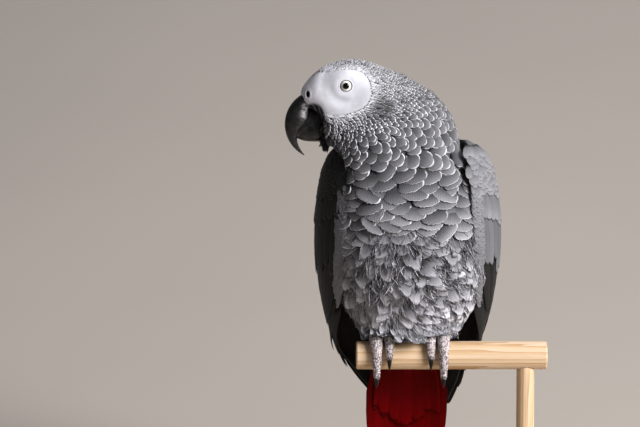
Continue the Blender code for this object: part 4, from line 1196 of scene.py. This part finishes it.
def billPart(options, material):
    # Upper bill: ovals swept along the culmen's arc, x = cx + ρ·cos θ, z = cz + ρ·sin θ, with
    # ρ = R - d/2 + d/2·cos t and y = w·sin t, narrower on the ridge, and its cutting edge pulled to a lip.
    share = np.linspace(0, 1, options["steps"])
    angle = options["start"] + (options["end"] - options["start"]) * share
    depth = through(options["depths"], angle)[:, 0]
    keen = np.clip((angle - 114) / 130, 0, 1)
    width = options["halfWidth"] * (1 - keen**1.8) + 0.25
    turn = circle(options["around"])
    along, across = np.cos(turn), np.sin(turn)
    lip = 0.5 * hump(turn, 2.35, 0.3) + 0.5 * hump(turn, 2 * math.pi - 2.35, 0.3)
    notch = 0.6 * hump(angle, 196, 5.0)
    radial = options["radius"] - depth[:, None] / 2 + depth[:, None] / 2 * rounded(along, 2.2)
    radial = radial - (depth * 0.035)[:, None] * lip + (notch[:, None] * lip)
    lateral = width[:, None] * rounded(across, 2.3) * (1 - options["ridge"] * along)
    radians = np.radians(angle)[:, None]
    x, z = options["centre"][0] + radial * np.cos(radians), options["centre"][1] + radial * np.sin(radians)
    points, *faces = closedLoft(np.stack([x, headY + lateral, z], 2))
    mesh = meshFrom("upper bill", points, *faces)
    *middle, wide, high = options["pale"]
    dx, dz = off(points, middle)
    pale = np.exp(-((dx - 0.15 * dz) / wide) ** 2 - (dz / high) ** 4)
    edge = np.append(np.tile(0.0875 * hump(turn, 2.5, 0.2), len(angle)), [0, 0])
    addValue(mesh, "wear", 1.1 * pale + edge)
    addValue(mesh, "growth", np.append(np.repeat(angle * 0.4, len(turn)), [0, 0]))
    cleaned(mesh)
    finished(mesh, "upper_bill", material, "horn", "bill_upper")
    # Lower bill: a scoop standing in the head's plane, r(θ)·s out from its middle and
    # w·(1 - s³)^(1/3) to each side, with a groove behind its cutting edge.
    around, steps = 120, 22
    angle = np.linspace(-180, 180, around, endpoint=False)
    outline = through(options["jawOutline"], angle)[:, 0]
    half = np.sin(np.linspace(0.03, math.pi / 2, steps))
    share = np.concatenate([half, half[-2::-1]])
    side = np.concatenate([np.ones(steps), -np.ones(steps - 1)])
    x0, z0 = options["jawCentre"]
    x = x0 + share[:, None] * outline * np.cos(np.radians(angle))
    z = z0 + share[:, None] * outline * np.sin(np.radians(angle))
    width = np.interp(x, *np.array(options["jawWidths"]).T)
    blade = (x - x0) * 0.62 - (z - z0) * 0.78  # distance below the edge
    groove = 0.35 * hump(blade, 2.2, 1.6) + 1.2 * ease(0.0, -5.0, blade)
    y = headY + side[:, None] * np.maximum(width - groove, 1.0) * ((1 - share**3) ** (1 / 3))[:, None]
    points, *faces = closedLoft(np.stack([x, y, z], 2))
    mesh = meshFrom("lower bill", points, *faces)
    reach = np.hypot(*off(points, options["jawWear"]))
    addValue(mesh, "wear", 0.2 * hump(reach, 0.0, 3.2))
    addValue(mesh, "growth", reach * 0.25)
    cleaned(mesh)
    finished(mesh, "lower_bill", material, "horn", "bill_lower")


# Feet

foot = {
    "middle": 18.3, "gap": 0.4,  # from the perch's middle to the foot's, and between toe and perch
    "toes": (
        # name, sideways from the foot's middle, straight part, back, radius at root and tip, claw
        ("outer_front", 4.6, 15.0, False, 4.6, 2.1, 7.0), ("inner_front", -5.0, 1.5, False, 4.0, 2.2, 9.0),
        ("outer_back", 5.6, 7.0, True, 4.2, 2.2, 9.5), ("inner_back", -4.6, 1.5, True, 3.6, 2.0, 8.5),
    ),
    "scale": 1.9, "relief": 0.22,  # one scale's length along the toe, and how far it stands up
    "pale": "dcd1d3", "furrow": "a09396",
    "netSize": 1.2, "net": "241c20",  # millimetres across a cell of the dark net, and its colour
    "around": 84, "along": 170,
}


def toeLine(side, spread, straight, back, thick, tip, count):
    # An arc over the perch, (ρ·sin a, ρ·cos a) with ρ out to the toe's middle, then a straight run down.
    angle = np.radians(np.linspace(4, 92, count))
    share = np.linspace(0, 1, count)
    x = side * (foot["middle"] + spread * (0.94 - 0.06 * share))
    radius = perchRadius + foot["gap"] + thick + (tip - thick) * share
    arc = np.stack([x, -radius * np.sin(angle), radius * np.cos(angle) - perchRadius], 1)
    down = np.linspace(0, 1, max(int(straight * 3), 4))[1:, None]
    run = arc[-1] + np.array((0, 0.02, -0.5)) * 2 * straight * down
    return np.concatenate([arc, run]) * (1, -1 if back else 1, 1)


def scaled(rings, length, around, options, chance):
    # Rows of scales like tiles: each cell rises as a low dome, and every other row is half a scale over.
    row = (length / options["scale"])[:, None]
    turn = circle(rings.shape[1])
    row = row + 0.3 * np.sin(3 * turn + 1.3 * row) + 0.2 * np.sin(5 * turn - 0.7 * row)
    number = np.floor(row)
    turn = turn * around / 2 / math.pi + 0.5 * (number % 2) + 0.3 * np.sin(1.9 * number + turn) + 1
    offRow, offTurn = np.abs(row - number - 0.5) * 2, np.abs(turn - np.floor(turn) - 0.5) * 2
    dome = ease(1.06, 0.6, np.hypot(offRow, offTurn))
    cell = chance.random((int(number.max()) + 4, around + 4))
    cell = cell[number.astype(int) + 1, np.floor(turn).astype(int)]
    middle = rings.mean(1, keepdims=True)
    raised = middle + (rings - middle) * (1 + options["relief"] * (dome - 0.5) / 3.2)[..., None]
    pale, furrow = (np.array(linear(options[key])[:3]) for key in ("pale", "furrow"))
    return raised, (furrow + (pale * (0.78 + 0.3 * cell[..., None]) - furrow) * dome[..., None])


def footPart(side, word, options, material, hornVane):
    chance = np.random.default_rng(60 + side)
    parts, tones, ages, loops, starts = [], [], [], [], []
    around = options["around"]

    def add(rings, tone, age):
        points, ownLoops, ownStarts = closedLoft(rings)
        base = sum(map(len, parts))
        starts.append(ownStarts + sum(map(len, loops)))
        loops.append(ownLoops + base)
        parts.append(points)
        tones.append(np.concatenate([tone.reshape(-1, 3), tone[:1].mean(1), tone[-1:].mean(1)]))
        ages.append(np.concatenate([np.repeat(age, rings.shape[1]), age[:1], age[-1:]]))

    for name, spread, straight, back, thick, tip, length in options["toes"]:
        path = toeLine(side, spread, straight, back, thick, tip, 90)
        step = np.concatenate([[0], np.cumsum(np.linalg.norm(np.diff(path, axis=0), axis=1))])
        even = np.linspace(0, step[-1], options["along"])
        path = np.stack([np.interp(even, step, path[:, k]) for k in range(3)], 1)
        share = even / step[-1]
        radii = (thick + (tip - thick) * share) * (1 + 0.05 * np.cos(share * 6 * math.pi))
        radii = radii * np.sqrt(np.clip(1 - ((share - 0.88) / 0.12).clip(0, 1) ** 2 * 0.6, 0, 1))
        rings, tone = scaled(sweep(path, radii, around), even, 12, options, chance)
        add(rings, tone, 0.35 * ease(0.3, 0.9, share) + ease(0.86, 1.02, share))
        clawPart(f"claw_{word}_{name}", path, tip, length, back, hornVane)
    pad = np.array([(side * (options["middle"] + s), 0.0, 4.55) for s in np.linspace(-6.3, 6.3, 40)])
    rings = sweep(pad, 4.2 * np.sqrt(1 - np.linspace(-0.985, 0.985, 40) ** 2), around, 1.25, (0, 1, 0))
    add(*scaled(rings, np.linspace(0, 12.6, 40), 15, options, chance), np.zeros(40))
    stub = np.linspace((0, 0, 11.5), (0, 0, 3.6), 50) + (side * options["middle"], 0.5, 0)
    rings = sweep(stub, np.linspace(4.9, 4.7, 50), around)
    add(*scaled(rings, np.linspace(0, 8, 50), 15, options, chance), np.zeros(50))
    mesh = meshFrom(f"toes {word}", np.concatenate(parts), np.concatenate(loops), np.concatenate(starts))
    addColour(mesh, "tone", np.concatenate(tones))
    addValue(mesh, "age", np.concatenate(ages))
    finished(mesh, f"scaled_toes_{word}", material, "foot_scale", f"foot_{word}")


def clawPart(node, path, radius, length, back, material):
    # A curved spike that goes on from the toe and bends in under the perch: r(s) = r·(1 - 0.97·s^1.8).
    ahead = unit(path[-1] - path[-4])
    inward = np.array((0.0, -1.0 if back else 1.0, 0.0))
    share = np.linspace(0, 1, 40)
    bend = np.radians(34) * share
    steps = length / 39 * (ahead * np.cos(bend)[:, None] + inward * np.sin(bend)[:, None])
    points = path[-1] - ahead * 1.2 + np.cumsum(steps, axis=0)
    radii = 0.92 * radius * (1 - share**1.8 * 0.97)
    mesh = meshFrom(node, *closedLoft(sweep(points, radii, 28, 0.8)))
    addValue(mesh, "wear", np.append(np.repeat(0.05 * (1 - share) ** 2, 28), [0.05, 0]))
    addValue(mesh, "growth", np.append(np.repeat(share * length * 0.7, 28), [0, 0]))
    cleaned(mesh)
    finished(mesh, node.replace("claw", "curved_claw"), material, "horn", node)


# Tail

tail = {
    "top": -12.0, "tip": -88.0, "slope": 0.43, "middle": (0.0, 41.0),
    "keys": ((-12, 18.0, 5.0), (-30, 24.0, 4.2), (-55, 26.4, 3.2), (-74, 27.0, 2.2), (-88, 25.2, 1.4)),
    "feathers": 12, "width": 12.5, "root": -2.0,
    "covertWidth": 12.4,
    "coverts": ((1, -34.0, 63.0), (-1, -40.0, 36.0)),  # front or back face, lowest row, and length
    "centre": "6c0005", "margin": "320206",
}


def tailPlace(across, z, over):
    # The fan: x = middle + w(z)·a, y = middle + slope·(top - z) - 5·a², moved by over along its front.
    width = through(tail["keys"], z)[..., 0]
    x = tail["middle"][0] + width * across
    y = tail["middle"][1] + tail["slope"] * (tail["top"] - z) - 5.0 * across**2
    lean = unit(np.array((0.0, -1.0, -tail["slope"])))
    return np.stack([x, y, z], -1) + over[..., None] * lean


def tailPart(options, material):
    chance = np.random.default_rng(81)
    count, shape = options["feathers"], longVane
    a0 = np.linspace(-0.86, 0.86, count)
    end = options["tip"] + 12.0 * np.abs(a0) ** 2.5 + chance.normal(0, 0.5, count)
    z = options["root"] + (end - options["root"])[:, None] * shape["y"]
    width = through(options["keys"], z)[..., 0]
    across = a0[:, None] + shape["x"] * options["width"] / 2 / width
    over = 1.5 * np.abs(a0)[:, None] - 0.7 + 0.5 * (1 - shape["u"] ** 2) - 0.9 * shape["lower"]
    over = over + 0.35 * np.sign(a0)[:, None] * shape["u"]
    points = [tailPlace(across, z, over)]
    roots = [np.stack([a0, options["root"] + 0 * a0], -1)]
    for way, low, long in options["coverts"]:  # over both faces, longer below the tail
        for row in range(3):
            places = np.linspace(-0.86, 0.82, 7) + 0.12 * (row % 2)
            start = low + 36.0 - 9.0 * row
            end = long - 9.0 * row * (way > 0) + 5.0 * np.cos(places * 4.0)
            z = start - end[:, None] * shape["y"] + chance.normal(0, 2.0, (7, 1))
            width = through(options["keys"], z)[..., 0]
            across = np.clip(places[:, None] + shape["x"] * options["covertWidth"] / 2 / width, -0.9, 0.9)
            lift = 2.6 + 0.4 * row - 1.7 * shape["v"] + 0.4 * (1 - shape["u"] ** 2) - 0.3 * shape["lower"]
            points.append(tailPlace(across, z, np.broadcast_to(way * lift, z.shape)))
            roots.append(np.stack([places, start + 0 * places], -1))
    points, roots = np.concatenate(points), np.concatenate(roots)
    longOnes = np.arange(len(points)) < count
    tone = (1 + chance.normal(0, 0.09, len(points))) * np.where(longOnes, 1.0, 0.9)
    centre, margin = (np.array(linear(options[key])[:3]) * tone[:, None] for key in ("centre", "margin"))
    bake = np.clip((roots + (1, 90)) / (2, 130), 0.01, 0.99)
    mesh = vaneMesh("tail", shape, points, centre, margin, bake, 0.6, np.where(longOnes, 1.0, 0.12)[:, None])
    cleaned(mesh, 0.0001)
    finished(mesh, "tail_feathers", material, "red_feather", "tail")


print("scene: eyes, bill, feet, tail")
horn = hornMaterial("black bill horn", "121113", "b9b6bb", 0.3)
clawHorn = hornMaterial("dark claw horn", "0d0c0c", "4f4a4a", 0.5, 0.2)
eyeGlass, footSkin = eyeMaterial(), footMaterial(foot)
for side, word in ((1, "left"), (-1, "right")):
    eyePart(side, word, eye, eyeGlass, bareSkin)
    footPart(side, word, foot, footSkin, clawHorn)
billPart(bill, horn)
tailPart(tail, redVane)


# Pine

print("scene: stand")
for name, along in (("perch", 0), ("stand_base", 0), ("stand_rod", 2)):
    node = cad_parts[name]
    node.data.materials.clear()
    node.data.materials.append(pineMaterial(f"planed pine {name}", wood, along))
